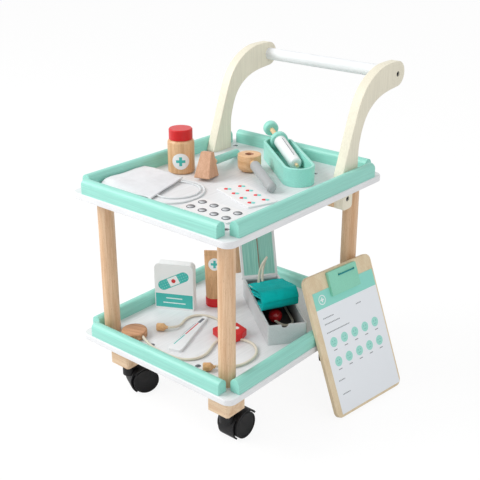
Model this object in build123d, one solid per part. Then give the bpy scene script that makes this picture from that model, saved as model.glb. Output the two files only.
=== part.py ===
from build123d import *
import os
from math import asin, atan2, cos, degrees, hypot, pi, radians, sin, sqrt, tan

# A two-tray wooden toy trolley on casters, laden with its toy doctor set. Millimetres, +Z up.
# It is modelled about the middle of the boards on the floor: +X runs to the right along the front
# edge, +Y back to the handle. The last lines move the origin to the middle of the whole footprint.

# Boards
board_width = 293.0
board_length = 348.0
board_thickness = 9.5
board_corner_radius = 14.0
board_edge_round = 1.5

# Posts between the boards
post_diameter = 23.5
post_length = 213.5
post_inset = 33.4            # post axis to each edge of the board

# Tray rails with a round top
rail_width = 15.7
rail_height = 20.2
rail_inset = 2.0             # board edge to the rail's outer face
rail_corner_gap = 3.7        # end of a rail to the inner face of the next one
rail_end_round = 0.8

# Handle arms, cut from thick plywood, with a tongue through the upper board
arm_thickness = 15.6
arm_rail_gap = 0.3
arm_foot_front = 88.0
arm_foot_depth = 43.0
arm_tip_y = 226.0            # push bar axis
arm_tip_height = 136.4       # push bar axis above the upper deck
arm_tip_radius = 18.7
arm_foot_round = 2.5
arm_edge_round = 1.2
tongue_setback = 8.0         # front of the foot to the front of the tongue
tongue_depth = 24.0
tongue_drop = 32.0           # below the underside of the upper board
tongue_corner_radius = 6.0
tongue_clearance = 0.3

# Push bar and stretcher
bar_diameter = 19.0
stretcher_depth = 32.0
stretcher_height = 30.0
stretcher_edge_round = 6.0

# Bolts of the arms: head sunk in the arm, shank in the bar or the stretcher
bolt_head_diameter = 8.0
bolt_head_height = 4.0
bolt_sink = 1.2
bolt_diameter = 5.0
bolt_key = 4.0               # across the flats of its hexagon socket
bolt_key_depth = 2.2
bolt_grip = 24.0             # depth in the bar or the stretcher

# Countersunk screws
screw_head_diameter = 8.5
screw_head_height = 3.2
screw_diameter = 4.0
recess_share = 0.58          # length of a cross recess in its head's diameter
recess_width = 0.9
recess_depth = 1.8
post_screw_length = 42.0
bearer_screw_length = 18.0
rail_screw_diameter = 3.0
rail_screw_head_diameter = 6.0
rail_screw_length = 22.0
rail_screw_share = 0.27      # place of a screw along its rail, from each end
stretcher_screw_x = 69.0

# Bearers and caster blocks under the lower board
bearer_length = 150.0
bearer_depth = 18.0
bearer_height = 10.0
bearer_y = 133.0
bearer_screw_x = (-38.0, 53.0)
block_size = 38.0
block_height = 43.5
block_inset = 48.0           # block centre to each edge of the board
block_edge_chamfer = 2.5

# Twin-wheel casters
wheel_diameter = 40.0
wheel_width = 15.0
wheel_edge_round = 1.5
wheel_dish_depth = 0.6
wheel_rim = 3.2
caster_web = 6.0             # plate between the two wheels
web_gap = 1.0
caster_trail = 21.0
hood_gap = 1.4
hood_wall = 2.4
hood_inner_width = 27.0      # the part of the hood that reaches down in front
hood_rear_angle = 33.0
hood_front_angle = 232.0
visor_front_angle = 140.0
boss_diameter = 20.0
boss_gap = 0.4               # top of the hood to the socket's flange
stem_diameter = 8.0
stem_length = 28.0           # above the hood
axle_diameter = 4.0
running_clearance = 0.05     # radial, at each turning or sliding shaft
socket_diameter = 11.0
socket_depth = 31.0
socket_flange_diameter = 18.0
socket_flange = 1.2
caster_turns = {"front_left": -26.6, "front_right": 0.0, "back_left": 38.0, "back_right": 24.0}

# How far a loose piece lies above what carries it
rest_gap = 0.2

# Medicine bottle
bottle_place = (-89.0, -10.0)
bottle_diameter = 39.5
bottle_body_height = 45.0
bottle_shoulder = 5.0
bottle_neck_diameter = 21.0
bottle_neck_height = 8.0
bottle_cap_diameter = 35.0
bottle_cap_height = 15.5
bottle_cap_ribs = 22
bottle_cap_gap = 0.3

# Reflex hammer
hammer_place = (-37.8, -11.5)
hammer_turn = 18.0
hammer_base = (24.0, 37.0)
hammer_top = (16.5, 10.0)
hammer_head_height = 36.5
hammer_axis_height = 19.0
hammer_neck_diameter = 8.0
hammer_neck_length = 12.0
hammer_handle_diameter = 12.0
hammer_handle_length = 84.0

# Otoscope
otoscope_place = (-13.0, 56.0)
otoscope_turn = -33.0
cup_diameter = 35.0
cup_height = 26.0
cup_bottom_round = 9.0
cup_bore = 9.6
cup_bore_depth = 16.0
cup_flare = 13.4
cup_flare_depth = 3.0
otoscope_axis_height = 19.0
otoscope_neck_diameter = 8.0
otoscope_neck_length = 4.5
otoscope_handle_diameter = 15.0
otoscope_handle_length = 86.5

# Syringe tray
bin_place = (28.4, 96.0)
bin_turn = -38.2
bin_length = 163.0
bin_width = 46.5
bin_height = 27.0
bin_wall = 4.5

# Syringe, which leans on the far rim of its tray
syringe_end = (20.5, 7.0)    # end of the barrel from the tray's middle, along and across it
syringe_turn = 4.2
barrel_diameter = 19.0
barrel_length = 78.0
barrel_end_round = 4.0
nozzle_diameter = 5.0
nozzle_length = 6.0
collar_diameter = 27.0
collar_length = 9.0
plunger_diameter = 7.2
plunger_reach = 30.0         # rod inside the barrel
plunger_bare = 33.0          # rod between the collar and the knob
knob_diameter = 23.0
knob_length = 12.0
plunger_travel = 20.0        # how far it pulls out

# Face mask, a cloth with two elastic loops
mask_thickness = 2.0
mask_corners = [(-124.0, -142.0), (-34.0, -126.0), (-56.0, -42.0), (-126.0, -50.0)]
mask_corner_round = 7.0
mask_profile = [(-128.0, 8.5), (-106.0, 10.0), (-82.0, 8.0), (-58.0, 4.0), (-33.0, 1.6)]
loop_diameter = 2.4
mask_loop_near = [(-52, -50), (-39, -44), (-24, -45), (-10, -53), (-2, -66), (0, -82),
                  (-5, -97), (-16, -108), (-30, -112), (-44, -112)]
mask_loop_far = [(-49, -121), (-36, -128), (-20, -131), (-5, -125), (6, -112), (11, -95),
                 (10, -77), (3, -60), (-9, -47), (-25, -39), (-41, -38), (-54, -45)]

# Tablet card and capsule card
card_length = 88.0
card_width = 46.0
card_thickness = 2.0
card_corner_radius = 2.5
tablet_card_place = (60.0, -104.0)
tablet_card_turn = -1.5
capsule_card_place = (54.0, -31.0)
capsule_card_turn = -19.3
blister_pitch_x = 21.2
blister_pitch_y = 22.4
blister_columns = 4
blister_rows = 2
blister_height = 1.0
tablet_diameter = 12.0
capsule_length = 10.4
capsule_width = 5.0
capsule_turn = 54.8          # from the length of the card

# Plaster box, a thin wooden block
plaster_place = (-118.0, -47.0)
plaster_turn = 27.8
plaster_width = 62.0
plaster_depth = 16.0
plaster_height = 77.0
plaster_corner_radius = 8.0

# Ointment tube standing on its cap
tube_place = (-56.0, 23.0)
tube_turn = 36.0
tube_cap_diameter = 28.0
tube_cap_height = 14.5
tube_diameter = 27.0
tube_height = 77.0
tube_crimp_width = 31.0
tube_crimp_depth = 4.0
tube_crimp_height = 7.0
tube_neck_diameter = 14.0
tube_neck_height = 8.0

# Stethoscope
chest_place = (-77.0, -131.0)
chest_diameter = 38.0
chest_height = 11.0
chest_edge_round = 2.5
hub_place = (33.0, -40.0)
hub_turn = -14.0
hub_base_width = 40.0
hub_top_width = 24.0
hub_length = 40.0
hub_shoulder = 14.0
hub_height = 12.0
hub_edge_round = 2.0
ear_tip_diameter = 12.0
ear_tip_length = 17.0
ear_tip_barrel = 10.5
ear_tip_nose = 4.6
ear_tip_left = (-56.5, -93.5, 35.0)      # place of its middle, and the way its nose points
ear_tip_right = (73.0, -132.5, 40.0)
cord_diameter = 4.0
cord_sink = 2.0              # how far a cord's end goes into its piece
chest_cord = [(-60.0, -131.5, 6.0), (-49.5, -135.0, 4.2), (-32.0, -139.5, 0.0), (-12.0, -141.8, 0.0),
              (9.0, -141.3, 0.0), (28.0, -137.0, 0.0), (40.5, -124.0, 0.0), (43.2, -107.0, 0.0),
              (37.5, -90.0, 0.0), (30.0, -74.5, 0.0), (27.5, -57.0, 0.0)]
left_ear_cord = [(-51.5, -90.0, 6.0), (-44.0, -81.0, 4.6), (-44.5, -66.0, 0.0), (-52.0, -51.0, 0.0),
                 (-53.0, -35.0, 0.0), (-44.5, -22.5, 0.0), (-30.0, -16.5, 0.0), (-14.0, -16.0, 0.0),
                 (1.0, -20.5, 0.0), (14.5, -30.0, 0.0)]
right_ear_cord = [(50.0, -41.5, 0.0), (64.0, -37.0, 0.0), (80.0, -41.0, 0.0), (93.0, -52.5, 0.0),
                  (100.5, -68.0, 0.0), (101.5, -85.0, 0.0), (97.0, -101.0, 0.0), (88.5, -114.5, 4.4),
                  (78.5, -125.5, 6.0)]

# Thermometer
thermometer_head = (-33.2, -23.8)
thermometer_foot = (0.0, -126.2)
thermometer_thickness = 4.0
thermometer_head_width = 10.0
thermometer_shoulder_width = 13.0
thermometer_width = 22.0
thermometer_shoulder = 32.0

# Case with a hinged lid
case_place = (91.5, -27.0)
case_turn = 52.5
case_width = 59.0
case_length = 170.0
case_height = 31.0
case_wall = 3.0
case_corner_radius = 3.0
notch_place = 26.0
notch_radius = 5.5
hinge_radius = 3.5
hinge_pin_diameter = 2.4
hinge_gap = 0.5
lid_length = 155.0           # short enough to swing past the stretcher of the arms
lid_thickness = 5.0
lid_rim = 3.6
lid_recess = 0.8
lid_spine = 1.6
lid_open_angle = 115.0

# Blood-pressure cuff, rolled up in the case, with its bulb and hose
cuff_thickness = 3.0
cuff_pitch = 3.6
cuff_radius = 14.0
cuff_straight = 85.0
cuff_turns = 3
cuff_left = 0.8
cuff_width = 57.4
cuff_middle = 95.2
cuff_low_left = 4.0          # its sides below the walls' tops, where the hose passes on the right
cuff_low_right = 48.4
cuff_tilt = 20.0
bulb_diameter = 21.0
bulb_place = (27.0, 61.9)
hose_diameter = 4.0
hose = [(19.0, 138.2, 28.8), (20.0, 141.2, 37.3), (21.3, 143.3, 46.0), (23.0, 145.0, 54.2),
        (27.0, 148.0, 61.2), (33.5, 154.3, 65.5), (37.8, 162.7, 65.5), (39.2, 170.0, 61.6),
        (38.2, 174.6, 53.8), (35.6, 174.4, 45.0), (33.0, 169.4, 38.0), (31.0, 163.0, 32.5),
        (30.5, 157.5, 24.0), (33.0, 154.0, 14.5), (40.5, 152.0, 8.0), (49.5, 146.5, 5.7),
        (53.3, 136.0, 5.4), (53.5, 115.0, 5.4), (53.1, 95.0, 5.4), (53.4, 74.0, 5.4),
        (53.2, 52.5, 5.4), (47.9, 45.2, 5.4), (39.3, 42.4, 5.8), (30.7, 45.2, 7.6),
        (24.6, 53.6, 10.6)]

# Clipboard, which leans on the rail of the lower tray
clipboard_width = 147.0
clipboard_height = 212.0
clipboard_thickness = 6.0
clipboard_corner_radius = 11.0
clipboard_y = 9.0            # its bottom corner nearest the front
clipboard_turn = 7.0
clipboard_lean = 22.0
paper_width = 132.5
paper_height = 183.0
paper_left = 11.0
paper_bottom = 4.0
paper_thickness = 0.4
clip_width = 62.0
clip_middle = 77.0           # from the board's left edge
clip_height = 36.0
clip_thickness = 4.5
clip_top_margin = 3.0
clip_hole_middle = 84.5
clip_hole_spacing = 33.0
clip_hole_drop = 9.0
clip_hole_diameter = 3.6
elastic_diameter = 2.0

lower_deck_top = wheel_diameter / 2 + wheel_diameter / 2 + hood_gap + hood_wall + 6.0 + boss_gap
lower_deck_top = lower_deck_top + socket_flange + block_height + board_thickness
block_bottom = lower_deck_top - board_thickness - block_height
upper_deck_top = lower_deck_top + post_length + board_thickness
rail_inner_x = board_width / 2 - rail_inset - rail_width
rail_inner_y = board_length / 2 - rail_inset - rail_width
post_x = board_width / 2 - post_inset
post_y = board_length / 2 - post_inset
block_x = board_width / 2 - block_inset
block_y = board_length / 2 - block_inset
arm_outer_x = rail_inner_x - arm_rail_gap
arm_inner_x = arm_outer_x - arm_thickness
tongue_front = arm_foot_front + tongue_setback
tongue_middle = tongue_front + tongue_depth / 2
tongue_bolt_z = upper_deck_top - board_thickness - tongue_drop / 2
bar_z = upper_deck_top + arm_tip_height

nodes = {}


def group(*shapes):
    """Separate solids that share one node."""
    return Compound([solid for shape in shapes for solid in shape.solids()])


def place(shape, x, y, z, turn=0.0):
    return Pos(x, y, z) * Rot(0, 0, turn) * shape


def countersunk_screw(length, shank, head, head_height):
    """A screw that points down, with the top of its head on z = 0."""
    cone = Pos(0, 0, -head_height / 2) * Cone(shank / 2, head / 2, head_height)
    return cone + Pos(0, 0, -length / 2) * Cylinder(shank / 2, length)


def deck_screw(length):
    return countersunk_screw(length, screw_diameter, screw_head_diameter, screw_head_height)


def driven(screw, head):
    """The screw with the cross recess for its driver."""
    bar = Box(recess_share * head, recess_width, 2 * recess_depth)
    return screw - bar - Rot(0, 0, 90) * bar


def corners(x, y):
    return [(sx * x, sy * y) for sy in (-1, 1) for sx in (-1, 1)]


# Screws first, because their holes are the same size as they are
post_spots = []
for x, y in corners(post_x, post_y):
    post_spots.append(Pos(x, y, upper_deck_top))
    post_spots.append(Pos(x, y, lower_deck_top - board_thickness) * Rot(180, 0, 0))
stretcher_spots = [Pos(sx * stretcher_screw_x, tongue_middle, upper_deck_top) for sx in (-1, 1)]
bearer_spots = [Pos(x, sy * bearer_y, lower_deck_top) for sy in (-1, 1) for x in bearer_screw_x]
post_screw = deck_screw(post_screw_length)
stretcher_screw = deck_screw(post_screw_length - 8.0)
bearer_screw = deck_screw(bearer_screw_length)
post_screws = [spot * post_screw for spot in post_spots]
stretcher_screws = [spot * stretcher_screw for spot in stretcher_spots]
bearer_screws = [spot * bearer_screw for spot in bearer_spots]
driven_screws = []
for spots, screw in ((post_spots, post_screw), (stretcher_spots, stretcher_screw),
                     (bearer_spots, bearer_screw)):
    driven_screws += [spot * driven(screw, screw_head_diameter) for spot in spots]


def arm_bolt(side, y, z):
    """A bolt along X whose head lies just under the outer face of an arm."""
    reach = arm_thickness - bolt_sink + bolt_grip
    head_x = arm_outer_x - bolt_sink - bolt_head_height / 2
    shank_x = arm_outer_x - bolt_sink - reach / 2
    head = Pos(side * head_x, y, z) * Rot(0, 90, 0) * Cylinder(bolt_head_diameter / 2, bolt_head_height)
    shank = Pos(side * shank_x, y, z) * Rot(0, 90, 0) * Cylinder(bolt_diameter / 2, reach)
    return head + shank


def bolt_socket(side, y, z):
    """The hexagon hole for the key, in the outer face of a bolt's head."""
    key = extrude(RegularPolygon(bolt_key / 2, 6, major_radius=False), bolt_key_depth)
    return Pos(side * (arm_outer_x - bolt_sink), y, z) * Rot(0, -90 * side, 0) * key


def bolt_pocket(side, y, z):
    """The open end of a bolt's hole, from its head out through the arm's face."""
    middle = side * (arm_outer_x - bolt_sink / 2)
    return Pos(middle, y, z) * Rot(0, 90, 0) * Cylinder(bolt_head_diameter / 2, bolt_sink)


bolt_spots = [(arm_tip_y, bar_z), (tongue_middle, tongue_bolt_z)]
bolts = [arm_bolt(side, y, z) for side in (-1, 1) for y, z in bolt_spots]
sockets = [bolt_socket(side, y, z) for side in (-1, 1) for y, z in bolt_spots]
pockets = [bolt_pocket(side, y, z) for side in (-1, 1) for y, z in bolt_spots]

# Rails, and the screws that hold them from under the boards


def rail(length):
    """A rail along X that stands on z = 0, with flat sides and a full round top."""
    straight = rail_height - rail_width / 2
    half = rail_width / 2
    outline = Polyline((-half, straight), (-half, 0), (half, 0), (half, straight))
    outline += ThreePointArc((half, straight), (0, rail_height), (-half, straight))
    body = extrude(Plane.YZ * make_face(outline), length / 2, both=True)
    ends = body.faces().sort_by(Axis.X)
    return fillet(ends[0].edges() + ends[-1].edges(), rail_end_round)


side_rail_length = 2 * (rail_inner_y - rail_corner_gap)
end_rail_length = 2 * (rail_inner_x - rail_corner_gap)


def tray_rails(deck_top):
    """Four rails on a board, with pilot holes for their screws, and those screws."""
    rails = []
    screws = []
    driven_in = []
    screw = countersunk_screw(rail_screw_length, rail_screw_diameter, rail_screw_head_diameter,
                              screw_head_height)
    for sign in (-1, 1):
        side = Pos(sign * (rail_inner_x + rail_width / 2), 0, deck_top) * Rot(0, 0, 90)
        end = Pos(0, sign * (rail_inner_y + rail_width / 2), deck_top)
        for where, length in ((side, side_rail_length), (end, end_rail_length)):
            rails.append(where * rail(length))
            for along in (rail_screw_share - 0.5, 0.5 - rail_screw_share):
                spot = where * Pos(along * length, 0, -board_thickness) * Rot(180, 0, 0)
                screws.append(spot * screw)
                driven_in.append(spot * driven(screw, rail_screw_head_diameter))
    return [piece - screws for piece in rails], screws, driven_in


lower_rails, lower_rail_screws, lower_driven = tray_rails(lower_deck_top)
upper_rails, upper_rail_screws, upper_driven = tray_rails(upper_deck_top)
nodes["lower_tray_rails"] = group(*lower_rails)
nodes["upper_tray_rails"] = group(*upper_rails)
nodes["rail_screws"] = group(*lower_driven, *upper_driven)
nodes["deck_screws"] = group(*driven_screws)
nodes["arm_bolts"] = group(*[bolt - socket for bolt, socket in zip(bolts, sockets)])

# Boards


def board(deck_top):
    plate = extrude(RectangleRounded(board_width, board_length, board_corner_radius), board_thickness)
    plate = fillet(plate.faces().sort_by(Axis.Z)[0].edges() + plate.faces().sort_by(Axis.Z)[-1].edges(),
                   board_edge_round)
    return Pos(0, 0, deck_top - board_thickness) * plate


slot = Box(arm_thickness + 2 * tongue_clearance, tongue_depth + 2 * tongue_clearance, 3 * board_thickness)
upper_board = board(upper_deck_top) - post_screws - stretcher_screws - upper_rail_screws
for side in (-1, 1):
    upper_board -= Pos(side * (arm_outer_x - arm_thickness / 2), tongue_middle, upper_deck_top) * slot
nodes["upper_board"] = upper_board
nodes["lower_board"] = board(lower_deck_top) - post_screws - bearer_screws - lower_rail_screws

# Posts
post_names = ("post_front_left", "post_front_right", "post_back_left", "post_back_right")
for name, (x, y) in zip(post_names, corners(post_x, post_y)):
    post = Pos(x, y, lower_deck_top + post_length / 2) * Cylinder(post_diameter / 2, post_length)
    nodes[name] = post - post_screws

# Handle arms: a foot on the upper deck, a sweep up and back, a round tip about the push bar


def arm_side():
    """The arm's outline, from above the deck: Y along, height up."""
    foot_back = arm_foot_front + arm_foot_depth
    end_angle = -84.5
    tip = CenterArc((arm_tip_y, arm_tip_height), arm_tip_radius, 90, end_angle - 90)
    front = Spline((arm_foot_front, 0), (arm_foot_front + 18.0, 50.0), (arm_foot_front + 33.0, 90.0),
                   (arm_foot_front + 53.0, 126.7), (arm_foot_front + 95.4, 152.0), tip @ 0,
                   tangents=((0.32, 1), (1, 0)))
    back = Spline(tip @ 1, (arm_foot_front + 91.6, 110.0), (arm_foot_front + 57.1, 85.2),
                  (arm_foot_front + 45.0, 56.1), (foot_back, 0), tangents=((-0.995, -0.096), (0, -1)))
    face = make_face(Curve() + [front, tip, back, Line((foot_back, 0), (arm_foot_front, 0))])
    return fillet(face.vertices().sort_by(Axis.Y)[:2], arm_foot_round)


def arm(side):
    plate = extrude(Plane.YZ * arm_side(), arm_thickness / 2, both=True)
    plate = fillet(plate.faces().sort_by(Axis.X)[0].edges() + plate.faces().sort_by(Axis.X)[-1].edges(),
                   arm_edge_round)
    plate = Pos(0, 0, upper_deck_top) * plate
    length = board_thickness + tongue_drop
    tongue = Box(arm_thickness, tongue_depth, length + arm_edge_round)
    tongue = fillet(tongue.edges().filter_by(Axis.X).sort_by(Axis.Z)[:2], tongue_corner_radius)
    tongue = Pos(0, tongue_middle, upper_deck_top - length / 2 + arm_edge_round / 2) * tongue
    return Pos(side * (arm_outer_x - arm_thickness / 2), 0, 0) * (plate + tongue)


for name, side in (("arm_left", -1), ("arm_right", 1)):
    nodes[name] = arm(side) - bolts - pockets

bar = Pos(0, arm_tip_y, bar_z) * Rot(0, 90, 0) * Cylinder(bar_diameter / 2, 2 * arm_inner_x)
nodes["push_bar"] = bar - bolts

stretcher = Box(2 * arm_inner_x, stretcher_depth, stretcher_height)
stretcher = fillet(stretcher.edges().filter_by(Axis.X).sort_by(Axis.Z)[:2], stretcher_edge_round)
stretcher = Pos(0, tongue_middle, upper_deck_top - board_thickness - stretcher_height / 2) * stretcher
nodes["arm_stretcher"] = stretcher - bolts - stretcher_screws

# Bearers and caster blocks
bearers = [Pos(0, sign * bearer_y, lower_deck_top - board_thickness - bearer_height / 2)
           * Box(bearer_length, bearer_depth, bearer_height) - bearer_screws for sign in (-1, 1)]
nodes["deck_bearers"] = group(*bearers)

block = Box(block_size, block_size, block_height)
block = chamfer(block.edges().filter_by(Axis.Z), block_edge_chamfer)
block -= Pos(0, 0, (socket_depth - block_height) / 2) * Cylinder(socket_diameter / 2, socket_depth)
block_middle = block_bottom + block_height / 2
nodes["caster_blocks"] = group(*[Pos(x, y, block_middle) * block for x, y in corners(block_x, block_y)])

socket = Pos(0, 0, socket_depth / 2) * Cylinder(socket_diameter / 2, socket_depth)
socket += Pos(0, 0, -socket_flange / 2) * Cylinder(socket_flange_diameter / 2, socket_flange)
socket -= Pos(0, 0, (stem_length + 1) / 2 - socket_flange) * Cylinder(
    stem_diameter / 2 + running_clearance, stem_length + 1)
nodes["caster_sockets"] = group(*[Pos(x, y, block_bottom) * socket for x, y in corners(block_x, block_y)])

# Casters: swivel axis on the origin, axle along X, trailing to +Y
axle_z = wheel_diameter / 2
hood_top = block_bottom - socket_flange - boss_gap
hood_inner_radius = wheel_diameter / 2 + hood_gap
hood_outer_radius = hood_inner_radius + hood_wall
caster_width = caster_web + 2 * web_gap + 2 * wheel_width


def hood_band(start, end, width):
    """A stretch of the hood's rim, from one angle about the axle to another."""
    outer = CenterArc((0, 0), hood_outer_radius, start, end - start)
    inner = CenterArc((0, 0), hood_inner_radius, start, end - start)
    face = make_face(Curve() + [outer, inner, Line(outer @ 0, inner @ 0), Line(outer @ 1, inner @ 1)])
    return extrude(Plane.YZ * face, width / 2, both=True)


def hood_web():
    """The plate between the wheels, which carries the axle and holds the rim."""
    rim = CenterArc((0, 0), hood_inner_radius + hood_wall / 2, hood_rear_angle,
                    hood_front_angle - hood_rear_angle)
    face = make_face(Curve() + [rim, Line(rim @ 0, (0, 0)), Line((0, 0), rim @ 1)])
    return extrude(Plane.YZ * (face + Circle(2.2 * axle_diameter)), caster_web / 2, both=True)


def caster_hood():
    rim = hood_band(hood_rear_angle, hood_front_angle, hood_inner_width)
    rim += hood_band(hood_rear_angle, visor_front_angle, caster_width)
    rim = Pos(0, caster_trail, axle_z) * (rim + hood_web())
    boss_height = hood_top - axle_z - boss_diameter / 2
    boss = Pos(0, 0, hood_top - boss_height / 2) * Cylinder(boss_diameter / 2, boss_height)
    boss -= Pos(0, caster_trail, axle_z) * Rot(0, 90, 0) * Cylinder(hood_inner_radius, 2 * boss_diameter)
    stem_bottom = hood_top - boss_height / 2
    stem_top = hood_top + boss_gap + socket_flange + stem_length - 2.0
    stem = Pos(0, 0, (stem_bottom + stem_top) / 2) * Cylinder(stem_diameter / 2, stem_top - stem_bottom)
    axle_hole = Pos(0, caster_trail, axle_z) * Rot(0, 90, 0) * Cylinder(
        axle_diameter / 2 + running_clearance, 2 * caster_width)
    return group(rim + boss - stem - axle_hole, stem)


def caster_wheels():
    """Two wheels with dished outer faces, and the axle that both are pressed onto."""
    wheel = fillet(Cylinder(wheel_diameter / 2, wheel_width).edges(), wheel_edge_round)
    dish = Cylinder(wheel_diameter / 2 - wheel_rim, 2 * wheel_dish_depth)
    wheel -= Pos(0, 0, wheel_width / 2) * dish
    half_axle = caster_width / 2 - wheel_width / 4
    axle = Cylinder(axle_diameter / 2, 2 * half_axle)
    middle = caster_web / 2 + web_gap + wheel_width / 2
    right = Pos(0, 0, middle) * wheel - axle
    left = mirror(right, Plane.XY)
    return Pos(0, caster_trail, axle_z) * Rot(0, 90, 0) * group(right, left, axle)


hood = caster_hood()
wheels = caster_wheels()
for name, (x, y) in zip(("front_left", "front_right", "back_left", "back_right"), corners(block_x, block_y)):
    turn = caster_turns[name]
    nodes["caster_hood_" + name] = place(hood, x, y, 0, turn)
    nodes["caster_wheels_" + name] = place(wheels, x, y, 0, turn)

# Medicine bottle, turned from one piece, with a ribbed cap that turns on its neck
deck = upper_deck_top + rest_gap
body_r = bottle_diameter / 2
neck_r = bottle_neck_diameter / 2
cap_bottom = bottle_body_height + bottle_shoulder
profile = Polyline((0, 0), (body_r - 2, 0), (body_r, 2), (body_r, bottle_body_height))
profile += ThreePointArc((body_r, bottle_body_height),
                         (body_r - 1.5, bottle_body_height + 0.7 * bottle_shoulder),
                         (body_r - bottle_shoulder, cap_bottom))
profile += Polyline((body_r - bottle_shoulder, cap_bottom), (neck_r, cap_bottom),
                    (neck_r, cap_bottom + bottle_neck_height), (0, cap_bottom + bottle_neck_height), (0, 0))
bottle = revolve(Plane.XZ * make_face(profile), Axis.Z)
nodes["medicine_bottle"] = place(bottle, *bottle_place, deck)

cap = extrude(RegularPolygon(bottle_cap_diameter / 2, bottle_cap_ribs), bottle_cap_height)
cap = chamfer(cap.faces().sort_by(Axis.Z)[-1].edges(), 1.2)
cap -= Pos(0, 0, bottle_neck_height / 2) * Cylinder(neck_r + running_clearance, bottle_neck_height)
nodes["medicine_bottle_cap"] = place(cap, *bottle_place, deck + cap_bottom + bottle_cap_gap)

# Reflex hammer: a wedge of a head that stands on its broad end, the handle sloping to the deck
head = loft([Rectangle(*hammer_base), Pos(0, 0, hammer_head_height) * Rectangle(*hammer_top)])
head = fillet(head.edges(), 1.2)
neck_end = hammer_base[1] / 2 + hammer_neck_length
neck_length = neck_end + hammer_neck_diameter
neck = Pos(0, neck_end - neck_length / 2, hammer_axis_height) * Rot(90, 0, 0) * Cylinder(
    hammer_neck_diameter / 2, neck_length)
handle_far = neck_end + hammer_handle_length
handle = Pos(0, (neck_end + handle_far) / 2, hammer_axis_height) * Rot(90, 0, 0) * fillet(
    Cylinder(hammer_handle_diameter / 2, hammer_handle_length).edges(), hammer_handle_diameter / 3)
hammer_tilt = degrees(atan2(hammer_axis_height - hammer_handle_diameter / 2,
                            handle_far - hammer_base[1] / 2))
heel = hammer_base[1] / 2
hammer_frame = (Pos(*hammer_place, deck) * Rot(0, 0, hammer_turn) * Pos(0, heel, 0)
                * Rot(-hammer_tilt, 0, 0) * Pos(0, -heel, 0))
nodes["hammer_head"] = hammer_frame * (head - neck)
nodes["hammer_handle"] = hammer_frame * (neck + handle)

# Otoscope: a turned cup, and a handle that slopes from its side down to the deck
cup = Pos(0, 0, cup_height / 2) * Cylinder(cup_diameter / 2, cup_height)
cup = fillet(cup.edges().sort_by(Axis.Z)[0], cup_bottom_round)
cup = fillet(cup.edges().sort_by(Axis.Z)[-1], 1.0)
cup -= Pos(0, 0, cup_height - cup_bore_depth / 2) * Cylinder(cup_bore / 2, cup_bore_depth)
cup -= Pos(0, 0, cup_height - cup_flare_depth / 2) * Cone(cup_bore / 2, cup_flare / 2, cup_flare_depth)
reach = cup_diameter / 2 + otoscope_neck_length + otoscope_handle_length
slope = degrees(asin((otoscope_axis_height - otoscope_handle_diameter / 2) / reach))
otoscope_axis = Pos(0, 0, otoscope_axis_height) * Rot(0, 90 + slope, 0)
neck_start = cup_diameter / 2 - 6.0
neck_stop = cup_diameter / 2 + otoscope_neck_length
neck = otoscope_axis * Pos(0, 0, (neck_start + neck_stop + 4.0) / 2) * Cylinder(
    otoscope_neck_diameter / 2, neck_stop + 4.0 - neck_start)
handle = Pos(0, 0, neck_stop + otoscope_handle_length / 2) * fillet(
    Cylinder(otoscope_handle_diameter / 2, otoscope_handle_length).edges(), otoscope_handle_diameter / 2.2)
otoscope_frame = Pos(*otoscope_place, deck) * Rot(0, 0, otoscope_turn)
nodes["otoscope_cup"] = otoscope_frame * (cup - neck)
nodes["otoscope_handle"] = otoscope_frame * (neck + otoscope_axis * handle)

# Syringe tray with round ends
bin_frame = Pos(*bin_place, deck) * Rot(0, 0, bin_turn)
syringe_tray = extrude(SlotOverall(bin_length, bin_width), bin_height)
inner = extrude(SlotOverall(bin_length - 2 * bin_wall, bin_width - 2 * bin_wall), bin_height)
syringe_tray -= Pos(0, 0, bin_wall) * inner
syringe_tray = fillet(syringe_tray.faces().sort_by(Axis.Z)[-1].edges(), 1.0)
nodes["syringe_tray"] = bin_frame * syringe_tray

# Syringe: its local +Z runs from the nozzle end to the knob, and its rod lies on the rim's inner edge
rod_seat = bin_height + 2 * rest_gap + plunger_diameter / 2
end_rise = bin_wall + rest_gap + barrel_diameter / 2
rim_reach = bin_length / 2 - bin_wall + syringe_end[0]
syringe_slope = degrees(atan2(rod_seat - end_rise, rim_reach))
end_height = end_rise + 0.3
syringe_frame = (bin_frame * Pos(*syringe_end, end_height) * Rot(0, 0, 180 + syringe_turn)
                 * Rot(0, 90 - syringe_slope, 0))
barrel = Pos(0, 0, barrel_length / 2) * Cylinder(barrel_diameter / 2, barrel_length)
barrel = fillet(barrel.edges().sort_by(Axis.Z)[0], barrel_end_round)
nozzle = Pos(0, 0, -nozzle_length / 2) * Cylinder(nozzle_diameter / 2, nozzle_length)
collar = Pos(0, 0, barrel_length + collar_length / 2) * fillet(
    Cylinder(collar_diameter / 2, collar_length).edges(), 2.0)
bore_start = barrel_length - plunger_reach - plunger_bare
bore_end = barrel_length + collar_length
bore = Pos(0, 0, (bore_start + bore_end) / 2) * Cylinder(
    plunger_diameter / 2 + running_clearance, bore_end - bore_start + 0.01)
nodes["syringe_barrel"] = syringe_frame * (barrel + nozzle - bore)
nodes["syringe_collar"] = syringe_frame * (collar - bore)
rod_start = barrel_length - plunger_reach
rod_end = barrel_length + collar_length + plunger_bare
rod = Pos(0, 0, (rod_start + rod_end) / 2) * Cylinder(plunger_diameter / 2, rod_end - rod_start)
knob = Pos(0, 0, rod_end + knob_length / 2) * fillet(
    Cylinder(knob_diameter / 2, knob_length).edges(), 3.0)
nodes["syringe_plunger"] = syringe_frame * (rod + knob)

# Cords: straight runs joined by tangent arcs, each as large as its two runs allow
arc_share = 0.45


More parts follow.
